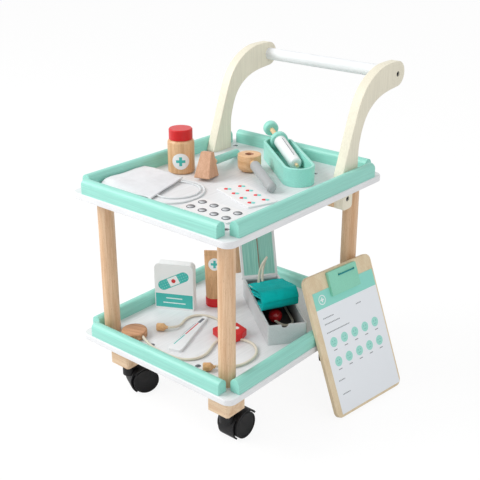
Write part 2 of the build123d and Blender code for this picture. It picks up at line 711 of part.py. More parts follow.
def cord_tube(name, points, diameter):
    """A tube along a route. Its arc radii and its volume are printed."""
    spots = [Vector(*point) for point in points]
    radii = []
    for before, here, after in zip(spots, spots[1:], spots[2:]):
        half_turn = radians((here - before).get_angle(after - here)) / 2
        shorter = min((here - before).length, (after - here).length)
        radii.append(arc_share * shorter / tan(half_turn))
    path = FilletPolyline(*spots, radius=radii)
    tube = sweep(Plane(origin=path @ 0, z_dir=path % 0) * Circle(diameter / 2), path=path)
    expected = pi * diameter ** 2 / 4 * path.length
    print(name, "radii", [round(radius, 1) for radius in radii], "length", round(path.length, 1),
          "volume over section times length", round(tube.volume / expected, 4))
    return tube


def on_deck(points, deck_height, diameter):
    """A route whose third number, if it has one, is the height that it gains above lying flat."""
    lying = deck_height + rest_gap + diameter / 2
    return [(x, y, max(lying, deck_height + lift[0]) if lift else lying) for x, y, *lift in points]


# Face mask: a cloth that slopes from the left rail down to the deck, cut to a rounded quad
lower_line = [(x, upper_deck_top + rise) for x, rise in mask_profile]
upper_line = [(x, z + mask_thickness) for x, z in lower_line]
bottom_edge = Spline(*lower_line)
top_edge = Spline(*upper_line)
section = make_face(Curve() + [bottom_edge, top_edge, Line(bottom_edge @ 0, top_edge @ 0),
                               Line(bottom_edge @ 1, top_edge @ 1)])
mask_sheet = extrude(Plane.XZ * section, board_length / 2)
mask_cut = extrude(make_face(Polyline(*mask_corners, close=True)), 2 * upper_deck_top)
mask_cut = fillet(mask_cut.edges().filter_by(Axis.Z), mask_corner_round)
nodes["face_mask"] = mask_sheet & mask_cut
for name, route in (("mask_loop_near", mask_loop_near), ("mask_loop_far", mask_loop_far)):
    ends = [(x, y, 2.6 if i in (0, len(route) - 1) else 1.4) for i, (x, y) in enumerate(route)]
    nodes[name] = cord_tube(name, on_deck(ends, upper_deck_top, loop_diameter), loop_diameter)

# Tablet card and capsule card


def blister_card(blister):
    card = extrude(RectangleRounded(card_length, card_width, card_corner_radius), card_thickness)
    spots = GridLocations(blister_pitch_x, blister_pitch_y, blister_columns, blister_rows)
    return card + [Pos(0, 0, card_thickness) * spot * blister for spot in spots]


dome = extrude(Circle(tablet_diameter / 2), blister_height)
dome = fillet(dome.faces().sort_by(Axis.Z)[-1].edges(), 0.8 * blister_height)
nodes["tablet_card"] = place(blister_card(dome), *tablet_card_place, deck, tablet_card_turn)
pill = extrude(SlotOverall(capsule_length, capsule_width), blister_height)
pill = fillet(pill.faces().sort_by(Axis.Z)[-1].edges(), 0.8 * blister_height)
pill = Rot(0, 0, capsule_turn) * pill
nodes["capsule_card"] = place(blister_card(pill), *capsule_card_place, deck, capsule_card_turn)

# Plaster box
deck = lower_deck_top + rest_gap
block = Pos(plaster_width / 2, plaster_depth / 2, plaster_height / 2) * Box(
    plaster_width, plaster_depth, plaster_height)
block = fillet(block.edges().filter_by(Axis.Y).sort_by(Axis.Z)[-2:], plaster_corner_radius)
nodes["plaster_box"] = place(block, *plaster_place, deck, plaster_turn)

# Ointment tube: round at its cap, flat at its crimp
tube_body = loft([Circle(tube_diameter / 2), Pos(0, 0, tube_height - tube_crimp_height)
                  * Ellipse(tube_crimp_width / 2, tube_crimp_depth / 2)])
crimp = extrude(RectangleRounded(tube_crimp_width, tube_crimp_depth, tube_crimp_depth / 2.5),
                tube_crimp_height)
tube_body += Pos(0, 0, tube_height - tube_crimp_height) * crimp
tube_body += Pos(0, 0, -tube_neck_height / 2) * Cylinder(tube_neck_diameter / 2, tube_neck_height)
tube_cap = fillet(Cylinder(tube_cap_diameter / 2, tube_cap_height).edges(), 1.0)
tube_cap -= Pos(0, 0, (tube_cap_height - tube_neck_height - rest_gap) / 2) * Cylinder(
    tube_neck_diameter / 2 + running_clearance, tube_neck_height + rest_gap)
nodes["ointment_tube_cap"] = place(tube_cap, *tube_place, deck + tube_cap_height / 2, tube_turn)
nodes["ointment_tube"] = place(tube_body, *tube_place, deck + tube_cap_height + rest_gap, tube_turn)

# Stethoscope: chest piece, hub, two ear tips and the three stretches of cord between them
chest = Pos(0, 0, chest_height / 2) * fillet(Cylinder(chest_diameter / 2, chest_height).edges(),
                                            chest_edge_round)
nodes["stethoscope_chest_piece"] = place(chest, *chest_place, deck)
half_base = hub_base_width / 2
half_top = hub_top_width / 2
shoulder_y = hub_length / 2 - hub_shoulder
hub = extrude(make_face(Polyline((-half_base, -hub_length / 2), (half_base, -hub_length / 2),
                                 (half_base, shoulder_y), (half_top, hub_length / 2),
                                 (-half_top, hub_length / 2), (-half_base, shoulder_y), close=True)),
              hub_height)
hub = fillet(hub.edges(), hub_edge_round)
nodes["stethoscope_hub"] = place(hub, *hub_place, deck, hub_turn)
tip_r = ear_tip_diameter / 2
nose_r = ear_tip_nose / 2
tip_profile = Polyline((0, 0), (tip_r - 1, 0), (tip_r, 1), (tip_r, ear_tip_barrel),
                       (nose_r, ear_tip_length - 2), (nose_r, ear_tip_length), (0, ear_tip_length),
                       close=True)
ear_tip = Pos(0, 0, -ear_tip_length / 2) * revolve(Plane.XZ * make_face(tip_profile), Axis.Z)
tips = [Pos(x, y, deck + tip_r) * Rot(0, 0, way) * Rot(0, 90, 0) * ear_tip
        for x, y, way in (ear_tip_left, ear_tip_right)]
nodes["stethoscope_ear_tips"] = group(*tips)
for name, route in (("chest", chest_cord), ("left_ear", left_ear_cord), ("right_ear", right_ear_cord)):
    node = "stethoscope_" + name + "_cord"
    nodes[node] = cord_tube(node, on_deck(route, lower_deck_top, cord_diameter), cord_diameter)

# Thermometer: a flat paddle with a narrow head
along = Vector(*thermometer_head, 0) - Vector(*thermometer_foot, 0)
half_widths = [(thermometer_width / 2, 0),
               (thermometer_shoulder_width / 2, along.length - thermometer_shoulder),
               (thermometer_head_width / 2, along.length)]
left_side = [(-width, y) for width, y in reversed(half_widths)]
paddle = make_face(Polyline(*half_widths, *left_side, close=True))
paddle = extrude(fillet(paddle.vertices(), thermometer_head_width / 2.4), thermometer_thickness)
paddle = fillet(paddle.faces().sort_by(Axis.Z)[-1].edges(), 1.0)
nodes["thermometer"] = place(paddle, *thermometer_foot, deck, degrees(atan2(-along.X, along.Y)))

# Case: its local X runs across it and its local Y along it, from the corner nearest the front
case_frame = Pos(*case_place, deck) * Rot(0, 0, case_turn)
hinge_y = case_length - hinge_radius + hinge_gap
hinge_z = case_height - hinge_radius
inner_width = case_width - 2 * case_wall
back_wall_height = hinge_z - hinge_radius - hinge_gap
case_outside = Pos(case_width / 2, case_length / 2, case_height / 2) * Box(
    case_width, case_length, case_height)
case_outside = fillet(case_outside.edges().filter_by(Axis.Z), case_corner_radius)
case_inside = Pos(case_width / 2, case_length / 2, case_height / 2 + case_wall) * Box(
    inner_width, case_length - 2 * case_wall, case_height)
hinge_bay = Pos(case_width / 2, case_length, back_wall_height + case_height / 2) * Box(
    inner_width, 4 * hinge_radius + 2 * hinge_gap, case_height)
notch = Pos(notch_place, 0, case_height) * Rot(90, 0, 0) * Cylinder(notch_radius, 3 * case_wall)
pin = Pos(case_width / 2, hinge_y, hinge_z) * Rot(0, 90, 0) * Cylinder(
    hinge_pin_diameter / 2, case_width - case_wall)
wall_round = Pos(case_width / 2, hinge_y + hinge_radius, hinge_z + hinge_radius) * Box(
    2 * case_width, 2 * hinge_radius, 2 * hinge_radius)
wall_round -= Pos(case_width / 2, hinge_y, hinge_z) * Rot(0, 90, 0) * Cylinder(
    hinge_radius - 0.1, 2 * case_width)
case_box = case_outside - case_inside - hinge_bay - notch - wall_round - pin
nodes["case_box"] = case_frame * group(case_box, pin)

# Lid: drawn closed, then opened about the hinge pin past upright
barrel_width = inner_width - 2 * hinge_gap
lid_bottom = case_height + rest_gap
lid = Pos(case_width / 2, hinge_y - lid_length / 2, lid_bottom + lid_thickness / 2) * Box(
    case_width, lid_length, lid_thickness)
pocket_width = (case_width - 2 * lid_rim - lid_spine) / 2
for side in (-1, 1):
    lid -= Pos(case_width / 2 + side * (lid_spine + pocket_width) / 2, hinge_y - lid_length / 2,
               lid_bottom) * Box(pocket_width, lid_length - 4 * lid_rim, 2 * lid_recess)
barrel = Pos(case_width / 2, hinge_y, hinge_z) * Rot(0, 90, 0) * Cylinder(hinge_radius, barrel_width)
leaf_height = lid_bottom + lid_thickness / 2 - hinge_z
leaf = Pos(case_width / 2, hinge_y - hinge_radius / 2, hinge_z + leaf_height / 2) * Box(
    barrel_width, hinge_radius, leaf_height)
pin_hole = Pos(case_width / 2, hinge_y, hinge_z) * Rot(0, 90, 0) * Cylinder(
    hinge_pin_diameter / 2 + running_clearance, 2 * case_width)
lid = lid + barrel + leaf - pin_hole
opened = Pos(0, hinge_y, hinge_z) * Rot(-lid_open_angle, 0, 0) * Pos(0, -hinge_y, -hinge_z)
nodes["case_lid"] = case_frame * opened * lid

# Cuff: a cloth band wound in a flat spiral, its loose end half way down the front


def cuff_line(inset):
    """The band's outer face, or its inner face at an inset, as a spiral of half turns and flats."""
    flat = cuff_straight / 2
    front_middle = (-flat, -cuff_pitch / 2)
    edges = [CenterArc(front_middle, cuff_radius + cuff_pitch / 2 - inset, 180, -90)]
    for turn in range(cuff_turns):
        radius = cuff_radius - turn * cuff_pitch
        top = Line((-flat, radius - inset), (flat, radius - inset))
        rear = CenterArc((flat, 0), radius - inset, 90, -180)
        base = Line(rear @ 1, (-flat, inset - radius))
        front = CenterArc(front_middle, radius - cuff_pitch / 2 - inset, 270, -180)
        edges += [top, rear, base]
        if turn < cuff_turns - 1:
            edges.append(front)
    return edges


outer_line = cuff_line(0)
inner_line = cuff_line(cuff_thickness)
loose_end = Line(outer_line[0] @ 0, inner_line[0] @ 0)
tucked_end = Line(outer_line[-1] @ 1, inner_line[-1] @ 1)
cuff_outline = Wire(outer_line + inner_line + [loose_end, tucked_end])
cuff = extrude(Plane.YZ * Face(cuff_outline), cuff_width, dir=(1, 0, 0))
rear_drop = cuff_straight / 2 * sin(radians(cuff_tilt))
cuff_height = case_wall + rest_gap + cuff_radius + rear_drop
cuff = Pos(cuff_left, cuff_middle, cuff_height) * Rot(-cuff_tilt, 0, 0) * cuff

# It is wider than the case inside: above the walls it spreads over them and rests on their tops
over_walls = Pos(case_width / 2, case_length / 2, lid_bottom + case_height) * Box(
    2 * case_width, 2 * case_length, 2 * case_height)
low_width = cuff_low_right - cuff_low_left
between_walls = Pos(cuff_low_left + low_width / 2, case_length / 2, case_height) * Box(
    low_width, 2 * case_length, 2 * case_height)
nodes["cuff"] = case_frame * (cuff & (over_walls + between_walls))

# The bulb lies on the case floor, under the front of the cuff
bulb_z = case_wall + rest_gap + bulb_diameter / 2
nodes["cuff_bulb"] = case_frame * Pos(*bulb_place, bulb_z) * Sphere(bulb_diameter / 2)
nodes["cuff_hose"] = case_frame * cord_tube("cuff_hose", hose, hose_diameter)

# Clipboard: local X along its bottom edge, local Y up its face, local Z out of its face
lean = radians(clipboard_lean)
rail_axis_x = board_width / 2 - rail_inset - rail_width / 2
rail_axis_z = lower_deck_top + rail_height - rail_width / 2
edge_lean = atan2(sin(lean) * cos(radians(clipboard_turn)), cos(lean))
back_z = clipboard_thickness * sin(lean) + rest_gap
reach = rail_width / 2 + rest_gap - (back_z - rail_axis_z) * sin(edge_lean)
back_x = rail_axis_x + reach / cos(edge_lean)
clipboard_frame = (Pos(back_x, clipboard_y, back_z)
                   * Rot(0, 0, 90 - clipboard_turn) * Rot(90 - clipboard_lean, 0, 0))
panel = extrude(RectangleRounded(clipboard_width, clipboard_height, clipboard_corner_radius),
                clipboard_thickness)
panel = fillet(panel.faces().sort_by(Axis.Z)[-1].edges(), 1.0)
seat = Pos(clipboard_width / 2, clipboard_height / 2, 0)
nodes["clipboard_board"] = clipboard_frame * seat * panel
paper = Pos(paper_left + paper_width / 2, paper_bottom + paper_height / 2, clipboard_thickness) * extrude(
    Rectangle(paper_width, paper_height), paper_thickness)
nodes["clipboard_paper"] = clipboard_frame * paper
clip_z = clipboard_thickness + paper_thickness + 0.5 * rest_gap
clip_top = clipboard_height - clip_top_margin
clip = Pos(clip_middle, clip_top - clip_height / 2, clip_z) * extrude(
    RectangleRounded(clip_width, clip_height, 1.5), clip_thickness)
hole_y = clip_top - clip_hole_drop
for side in (-1, 1):
    clip -= Pos(clip_hole_middle + side * clip_hole_spacing / 2, hole_y, clip_z) * Cylinder(
        clip_hole_diameter / 2, 4 * clip_thickness)
nodes["clipboard_clip"] = clipboard_frame * clip
strand_z = clip_z + clip_thickness + elastic_diameter / 2 + rest_gap
leg = elastic_diameter / 2
half_span = clip_hole_spacing / 2
elastic_path = FilletPolyline((-half_span, 0, clip_z), (-half_span, 0, strand_z), (half_span, 0, strand_z),
                              (half_span, 0, clip_z), radius=elastic_diameter)
elastic = sweep(Plane(origin=elastic_path @ 0, z_dir=elastic_path % 0) * Circle(leg), path=elastic_path)
nodes["clipboard_elastic"] = clipboard_frame * Pos(clip_hole_middle, hole_y, 0) * elastic

# The origin goes to the floor, at the middle of the whole footprint
footprint = Compound([solid for shape in nodes.values() for solid in shape.solids()]).bounding_box()
to_origin = Pos(-footprint.center().X, -footprint.center().Y, -footprint.min.Z)
os.makedirs("parts", exist_ok=True)
for name, shape in nodes.items():
    nodes[name] = to_origin * shape
    export_step(nodes[name], "parts/" + name + ".step")
print(len(nodes), "nodes, origin moved by", to_origin.position)
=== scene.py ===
from math import atan2, cos, degrees, pi, radians, sin, sqrt, tan

import bpy
from mathutils import Matrix, Vector, noise


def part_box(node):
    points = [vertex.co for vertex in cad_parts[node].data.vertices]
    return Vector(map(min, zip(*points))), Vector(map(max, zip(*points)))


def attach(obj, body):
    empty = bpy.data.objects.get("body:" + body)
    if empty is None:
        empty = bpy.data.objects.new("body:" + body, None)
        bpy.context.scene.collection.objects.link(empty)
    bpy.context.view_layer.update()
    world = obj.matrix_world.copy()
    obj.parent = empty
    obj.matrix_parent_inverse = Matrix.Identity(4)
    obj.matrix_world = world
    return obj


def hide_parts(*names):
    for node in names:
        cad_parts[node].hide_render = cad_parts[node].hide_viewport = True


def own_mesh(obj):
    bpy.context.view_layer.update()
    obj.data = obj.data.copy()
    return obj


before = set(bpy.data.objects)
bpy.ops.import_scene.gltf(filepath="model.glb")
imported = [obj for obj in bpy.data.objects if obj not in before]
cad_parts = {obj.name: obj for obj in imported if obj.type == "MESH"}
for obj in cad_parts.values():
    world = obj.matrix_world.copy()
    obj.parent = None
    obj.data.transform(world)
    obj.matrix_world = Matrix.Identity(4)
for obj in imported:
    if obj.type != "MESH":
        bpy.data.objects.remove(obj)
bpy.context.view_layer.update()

bpy.ops.object.select_all(action="DESELECT")

# The camera stands in front of the trolley's right corner, a little above its push bar, and looks
# down at it. Places are written in millimetres from the floor point under the boards' middle.
board_low, board_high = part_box("lower_board")
boards_middle = Vector(((board_low[0] + board_high[0]) / 2, (board_low[1] + board_high[1]) / 2, 0))
shelf = board_high[2] * 1000
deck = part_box("upper_board")[1][2] * 1000
camera_place = (776.81, -895.51, 737.3)
camera_looks_down, camera_turns_left = 22.88, 40.34


def at(x, y, z):
    """A place in millimetres from the boards' middle, as a point of the frame in metres."""
    return Vector((x, y, z)) / 1000 + boards_middle


bpy.ops.object.camera_add(location=at(*camera_place),
                          rotation=(radians(90 - camera_looks_down), 0, radians(camera_turns_left)))
camera = bpy.context.object
camera.data.lens = 65.49
camera.data.sensor_width = 36
bpy.context.scene.camera = camera
bpy.context.scene.view_settings.view_transform = "Standard"

# The stethoscope's three cords, the cuff's hose and the mask's elastics are limp round cord. Each
# leaves a drilled hole or a seam, lies on what is under it, and goes back into the toy.
cord_width = 4.0
elastic_width = 2.4
rest_gap = 0.2


class Finish:
    """One painter's finish: a base colour, then whatever is printed or grained over it."""

    def __init__(self, name, roughness=0.5):
        self.material = bpy.data.materials.new(name)
        self.material.use_nodes = True
        self.nodes = self.material.node_tree.nodes
        self.links = self.material.node_tree.links
        self.shader = self.nodes["Principled BSDF"]
        self.shader.inputs["Roughness"].default_value = roughness

    def put(self, socket, value):
        """Gives a socket a plain value, or what another node makes."""
        if isinstance(value, bpy.types.NodeSocket):
            self.links.new(value, socket)
        else:
            socket.default_value = value

    def tint(self, socket, value):
        """Gives a colour socket a plain colour, or what another node makes."""
        self.put(socket, value if isinstance(value, bpy.types.NodeSocket) else (*value, 1))

    def place(self, middle=(0, 0, 0), turn=(0, 0, 0), size=(1, 1, 1), coords="Object"):
        """The surface point in turned axes from a middle, in units of size."""
        source = self.nodes.new("ShaderNodeTexCoord")
        mapping = self.nodes.new("ShaderNodeMapping")
        mapping.vector_type = "TEXTURE"
        mapping.inputs["Location"].default_value = tuple(middle)
        mapping.inputs["Rotation"].default_value = tuple(turn)
        mapping.inputs["Scale"].default_value = size
        self.links.new(source.outputs[coords], mapping.inputs["Vector"])
        return mapping.outputs["Vector"]

    def split(self, vector):
        """The three numbers of a vector."""
        parts = self.nodes.new("ShaderNodeSeparateXYZ")
        self.links.new(vector, parts.inputs[0])
        return parts.outputs[0], parts.outputs[1], parts.outputs[2]

    def axes(self, middle, turn=(0, 0, 0)):
        """The surface point's x, y and z in turned axes from a middle, in millimetres."""
        return self.split(self.place(middle, turn, (0.001, 0.001, 0.001)))

    def math(self, kind, *values):
        """One step of arithmetic on numbers and on what other nodes make."""
        node = self.nodes.new("ShaderNodeMath")
        node.operation = kind
        for socket, value in zip(node.inputs, values):
            self.put(socket, value)
        return node.outputs[0]

    def plus(self, one, other):
        return self.math("ADD", one, other)

    def minus(self, one, other):
        return self.math("SUBTRACT", one, other)

    def times(self, one, other):
        return self.math("MULTIPLY", one, other)

    def below(self, value, limit):
        return self.math("LESS_THAN", value, limit)

    def above(self, value, limit):
        return self.math("GREATER_THAN", value, limit)

    def leaning(self, x, y, turn):
        """How far a point lies along a line that leans from x towards y, in degrees."""
        return self.plus(self.times(x, cos(radians(turn))), self.times(y, sin(radians(turn))))

    def cloud(self, vector, detail):
        """Soft random patches, from 0 to 1. More detail breaks them up."""
        node = self.nodes.new("ShaderNodeTexNoise")
        node.inputs["Scale"].default_value = 1.0
        node.inputs["Detail"].default_value = detail
        self.links.new(vector, node.inputs["Vector"])
        return node.outputs["Fac"]

    def grit(self, size, detail=2.0):
        """An even speckle with spots of about this size, in metres."""
        return self.cloud(self.place(size=(size, size, size)), detail)

    def between(self, share, low, high, first=0.0, last=1.0):
        """A colour that runs from low to high while share runs from first to last."""
        node = self.nodes.new("ShaderNodeValToRGB")
        node.color_ramp.elements[0].position = first
        node.color_ramp.elements[1].position = last
        node.color_ramp.elements[0].color = (*low, 1)
        node.color_ramp.elements[1].color = (*high, 1)
        self.links.new(share, node.inputs[0])
        return node.outputs[0]

    def over(self, under, mask, colour):
        """The colour laid over what is under it, where the mask is 1."""
        node = self.nodes.new("ShaderNodeMix")
        node.data_type = "RGBA"
        self.put(node.inputs[0], mask)
        self.tint(node.inputs[6], under)
        self.tint(node.inputs[7], colour)
        return node.outputs[2]

    def bar(self, x, y, x0, x1, y0, y1):
        """1 inside an upright rectangle of the print."""
        wide = self.below(self.math("ABSOLUTE", self.minus(x, (x0 + x1) / 2)), (x1 - x0) / 2)
        high = self.below(self.math("ABSOLUTE", self.minus(y, (y0 + y1) / 2)), (y1 - y0) / 2)
        return self.times(wide, high)

    def disc(self, x, y, cx, cy, r):
        """1 inside a circle of the print."""
        dx, dy = self.minus(x, cx), self.minus(y, cy)
        return self.below(self.plus(self.times(dx, dx), self.times(dy, dy)), r * r)

    def cross(self, x, y, cx, cy, arm, half):
        """1 inside an upright cross of the print."""
        return self.math("MAXIMUM", self.bar(x, y, cx - arm, cx + arm, cy - half, cy + half),
                         self.bar(x, y, cx - half, cx + half, cy - arm, cy + arm))

    def dashes(self, along, reach, half):
        """1 on a row of dashes: each reaches half to both sides, and the next is twice reach on."""
        return self.below(self.math("PINGPONG", along, reach), half)

    def colour(self, value):
        self.tint(self.shader.inputs["Base Color"], value)

    def relief(self, height, depth):
        """Raises the surface with the height, by up to this depth in metres."""
        node = self.nodes.new("ShaderNodeBump")
        node.inputs["Distance"].default_value = depth
        self.links.new(height, node.inputs["Height"])
        self.links.new(node.outputs[0], self.shader.inputs["Normal"])


def shade(red, green, blue):
    """A colour read from 0 to 255, as the linear values that a shader takes."""
    return tuple((v / 255 / 12.92) if v <= 10 else ((v / 255 + 0.055) / 1.055) ** 2.4
                 for v in (red, green, blue))


def scaled(tone, share):
    """A colour made darker, or lighter up to white."""
    return tuple(min(1.0, v * share) for v in tone)


def braid(name, tone, length, width):
    """Round braided cord: slanting strands round it, and a thin shadow between them."""
    cord = Finish(name, 0.85)
    along, round_it, _ = cord.split(cord.place(coords="UV"))
    strands = cord.plus(cord.times(along, length / width * 2.2), cord.times(round_it, 2.0))
    wave = cord.math("PINGPONG", strands, 0.5)
    cord.colour(cord.between(wave, scaled(tone, 0.80), tone, 0.0, 0.35))
    cord.relief(wave, 0.0005)
    cord.shader.inputs["Sheen Weight"].default_value = 0.2
    return cord


def lay_cord(node, body, points, length, width, tone, pressed_by=None):
    """A limp cord on its route, in the place of the plain tube of the same name.

    One that a lid presses down is made a mesh tube round the same line. pressed_by is the lid's
    joint, the point it is pressed towards and the share kept; only whether it is given is used.
    """
    curve = bpy.data.curves.new(node + "_line", "CURVE")
    curve.dimensions = "3D"
    spline = curve.splines.new("NURBS")
    spline.points.add(len(points) - 1)
    for spot, point in zip(spline.points, points):
        spot.co = (*point, 1)
    spline.order_u = 3
    spline.use_endpoint_u = True
    spline.resolution_u = 6
    cord = bpy.data.objects.new(node + "_laid", curve)
    bpy.context.scene.collection.objects.link(cord)
    middle = None
    if pressed_by:
        thread = cord.evaluated_get(bpy.context.evaluated_depsgraph_get())
        middle = [tuple(vertex.co) for vertex in thread.to_mesh().vertices]
        thread.to_mesh_clear()
    curve.bevel_depth = width / 2000
    curve.bevel_resolution = 3
    curve.use_fill_caps = True
    cord.data.materials.append(braid(node + "_braid", tone, length, width).material)
    if pressed_by:
        bpy.ops.object.select_all(action="DESELECT")
        bpy.context.view_layer.objects.active = cord
        cord.select_set(True)
        bpy.ops.object.convert(target="MESH")
    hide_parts(node)
    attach(cord, body)
    if pressed_by:
        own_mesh(cord)


def lying(points, floor, width):
    """A route on a floor. Its third number, if it has one, is a height above that floor."""
    flat = floor + rest_gap + width / 2
    return [at(x, y, max(flat, floor + rest_gap + lift[0]) if lift else flat)
            for x, y, *lift in points]


cotton = shade(232, 224, 206)
chest_cord = [(-60.0, -131.5, 6.0), (-49.5, -135.0, 4.2), (-32.0, -139.5), (-12.0, -141.8),
              (9.0, -141.3), (28.0, -137.0), (40.5, -124.0), (43.2, -107.0), (37.5, -90.0),
              (30.0, -74.5), (27.5, -57.0)]
left_ear_cord = [(-51.5, -90.0, 6.0), (-44.0, -81.0, 4.6), (-44.5, -66.0), (-52.0, -51.0),
                 (-53.0, -35.0), (-44.5, -22.5), (-30.0, -16.5), (-14.0, -16.0), (1.0, -20.5),
                 (14.5, -30.0)]
right_ear_cord = [(50.0, -41.5), (64.0, -37.0), (80.0, -41.0), (93.0, -52.5), (100.5, -68.0),
                  (101.5, -85.0), (97.0, -101.0), (88.5, -114.5, 4.4), (78.5, -125.5, 6.0)]
for node, route, length in (("stethoscope_chest_cord", chest_cord, 176.6),
                            ("stethoscope_left_ear_cord", left_ear_cord, 136.6),
                            ("stethoscope_right_ear_cord", right_ear_cord, 129.2)):
    lay_cord(node, "stethoscope", lying(route, shelf, cord_width), length, cord_width, cotton)

white_elastic = shade(240, 242, 243)
mask_loop_near = [(-52, -50, 2.6), (-39, -44), (-24, -45), (-10, -53), (-2, -66), (0, -82),
                  (-5, -97), (-16, -108), (-30, -112), (-44, -112, 2.6)]
mask_loop_far = [(-49, -121, 2.6), (-36, -128), (-20, -131), (-5, -125), (6, -112), (11, -95),
                 (10, -77), (3, -60), (-9, -47), (-25, -39), (-41, -38), (-54, -45, 2.6)]
for node, route, length in (("mask_loop_near", mask_loop_near, 135.0),
                            ("mask_loop_far", mask_loop_far, 182.6)):
    lay_cord(node, "mask", lying(route, deck, elastic_width), length, elastic_width, white_elastic)

case_turn, case_corner = 52.5, (91.5, -27.0)
hose_kept_under_lid = 0.3


def turned(x, y, turn):
    """A flat point turned about zero, in degrees."""
    c, s = cos(radians(turn)), sin(radians(turn))
    return x * c - y * s, x * s + y * c


def in_case(x, y, z):
    """A point in the case's own axes: across it, along it from its front, and up from the shelf."""
    from_corner = turned(x, y, case_turn)
    return at(case_corner[0] + from_corner[0], case_corner[1] + from_corner[1],
              shelf + rest_gap + z)


hose = [(19.0, 138.2, 28.8), (20.0, 141.2, 37.3), (21.3, 143.3, 46.0), (23.0, 145.0, 54.2),
        (27.0, 148.0, 61.2), (33.5, 154.3, 65.5), (37.8, 162.7, 65.5), (39.2, 170.0, 61.6),
        (38.2, 174.6, 53.8), (35.6, 174.4, 45.0), (33.0, 169.4, 38.0), (31.0, 163.0, 32.5),
        (30.5, 157.5, 24.0), (33.0, 154.0, 14.5), (40.5, 152.0, 8.0), (49.5, 146.5, 5.7),
        (53.3, 136.0, 5.4), (53.5, 115.0, 5.4), (53.1, 95.0, 5.4), (53.4, 74.0, 5.4),
        (53.2, 52.5, 5.4), (47.9, 45.2, 5.4), (39.3, 42.4, 5.8), (30.7, 45.2, 7.6),
        (24.6, 53.6, 10.6)]
lay_cord("cuff_hose", "cuff", [in_case(*point) for point in hose], 269.7, cord_width, cotton,
         ("case_lid_hinge", tuple(in_case(30.0, 100.0, 5.0)), hose_kept_under_lid))

# The room is a sheet of white paper that rises behind the toy, under wide soft lamps: the main one
# high on the left, a weaker one on the right.
paper_glow, glow_share = 1.04, 0.86
sky_light = 0.62
lamp_aim = Vector((0, 0, 0.25))
bpy.ops.mesh.primitive_plane_add(size=12, location=(0, 0, 0))
floor = bpy.context.object
floor.name = "studio_floor"
paper_roll = Finish("white_floor", 0.9)
paper_roll.colour((0.9, 0.9, 0.9))
floor.data.materials.append(paper_roll.material)

# Seen straight, the floor away from the trolley is as white as the paper behind it
tree = paper_roll.nodes
path = tree.new("ShaderNodeLightPath")
glow = tree.new("ShaderNodeEmission")
blend = tree.new("ShaderNodeMixShader")
glow.inputs["Strength"].default_value = paper_glow
reach = paper_roll.times(path.outputs["Is Camera Ray"], glow_share)
paper_roll.links.new(reach, blend.inputs[0])
paper_roll.links.new(paper_roll.shader.outputs[0], blend.inputs[1])
paper_roll.links.new(glow.outputs[0], blend.inputs[2])
paper_roll.links.new(blend.outputs[0], tree["Material Output"].inputs["Surface"])

world = bpy.data.worlds.new("studio")
bpy.context.scene.world = world
world.use_nodes = True
air = world.node_tree
sky = air.nodes["Background"]
sky.inputs[0].default_value = (1, 1, 1, 1)
sky.inputs[1].default_value = sky_light
plain = air.nodes.new("ShaderNodeBackground")
plain.inputs[0].default_value = (1, 1, 1, 1)
seen = air.nodes.new("ShaderNodeLightPath")
choose = air.nodes.new("ShaderNodeMixShader")
either = air.nodes.new("ShaderNodeMath")
either.operation = "MAXIMUM"
air.links.new(seen.outputs["Is Camera Ray"], either.inputs[0])
air.links.new(seen.outputs["Is Glossy Ray"], either.inputs[1])
air.links.new(either.outputs[0], choose.inputs[0])
air.links.new(sky.outputs[0], choose.inputs[1])
air.links.new(plain.outputs[0], choose.inputs[2])
air.links.new(choose.outputs[0], air.nodes["World Output"].inputs["Surface"])

for name, spot, watts, size in (("left_lamp", (-1.5, -1.5, 1.9), 49, 1.4),
                                ("right_lamp", (1.8, -0.4, 1.3), 6, 1.2)):
    bpy.ops.object.light_add(type="AREA", location=spot)
    lamp = bpy.context.object
    lamp.name = name
    lamp.data.energy = watts
    lamp.data.size = size
    lamp.rotation_euler = (lamp_aim - Vector(spot)).to_track_quat("-Z", "Y").to_euler()

# The two boards are plywood sheets, sprayed white all over and screwed to the posts. The grain only
# just shows through the paint.
white_paint = shade(231, 232, 234)


def stretched(along, width, length):
    """The size of one streak of the grain, long on one axis."""
    return tuple(length if axis == along else width for axis in "xyz")


def painted(name, tone, along="x", depth=0.00025, roughness=0.42, turn=(0, 0, 0)):
    """Sprayed paint over wood: an even colour, with faint streaks along the grain."""
    paint = Finish(name, roughness)
    streaks = paint.cloud(paint.place(turn=turn, size=stretched(along, 0.0016, 0.05)), 3.0)
    patches = paint.grit(0.05)
    share = paint.plus(paint.times(streaks, 0.65), paint.times(patches, 0.35))
    paint.tone = paint.between(share, scaled(tone, 0.93), scaled(tone, 1.04), 0.36, 0.64)
    paint.colour(paint.tone)
    paint.relief(streaks, depth)
    return paint


def dress(finish, *names):
    """Gives pieces of the frame their finish."""
    for name in names:
        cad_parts[name].material_slots[0].material = finish.material


dress(painted("white_board_paint", white_paint, "y"), "upper_board", "lower_board")

# The tray rails are solid strips with a round top, sprayed mint. Those along the sides and those
# across the ends share a node, so the grain lines run along whichever way a strip lies.
mint = shade(150, 217, 203)
side_rails_from = 128.0
rail_paint = Finish("mint_rail_paint", 0.40)
x, _, _ = rail_paint.axes(at(0, 0, 0))
is_side = rail_paint.above(rail_paint.math("ABSOLUTE", x), side_rails_from)
lengthwise = rail_paint.cloud(rail_paint.place(size=stretched("x", 0.0013, 0.06)), 3.0)
crosswise = rail_paint.cloud(rail_paint.place(size=stretched("y", 0.0013, 0.06)), 3.0)
streak = rail_paint.plus(rail_paint.times(is_side, crosswise),
                         rail_paint.times(rail_paint.minus(1.0, is_side), lengthwise))
rail_paint.colour(rail_paint.between(streak, scaled(mint, 0.93), scaled(mint, 1.05), 0.33, 0.66))
rail_paint.relief(streak, 0.0003)
dress(rail_paint, "lower_tray_rails", "upper_tray_rails")

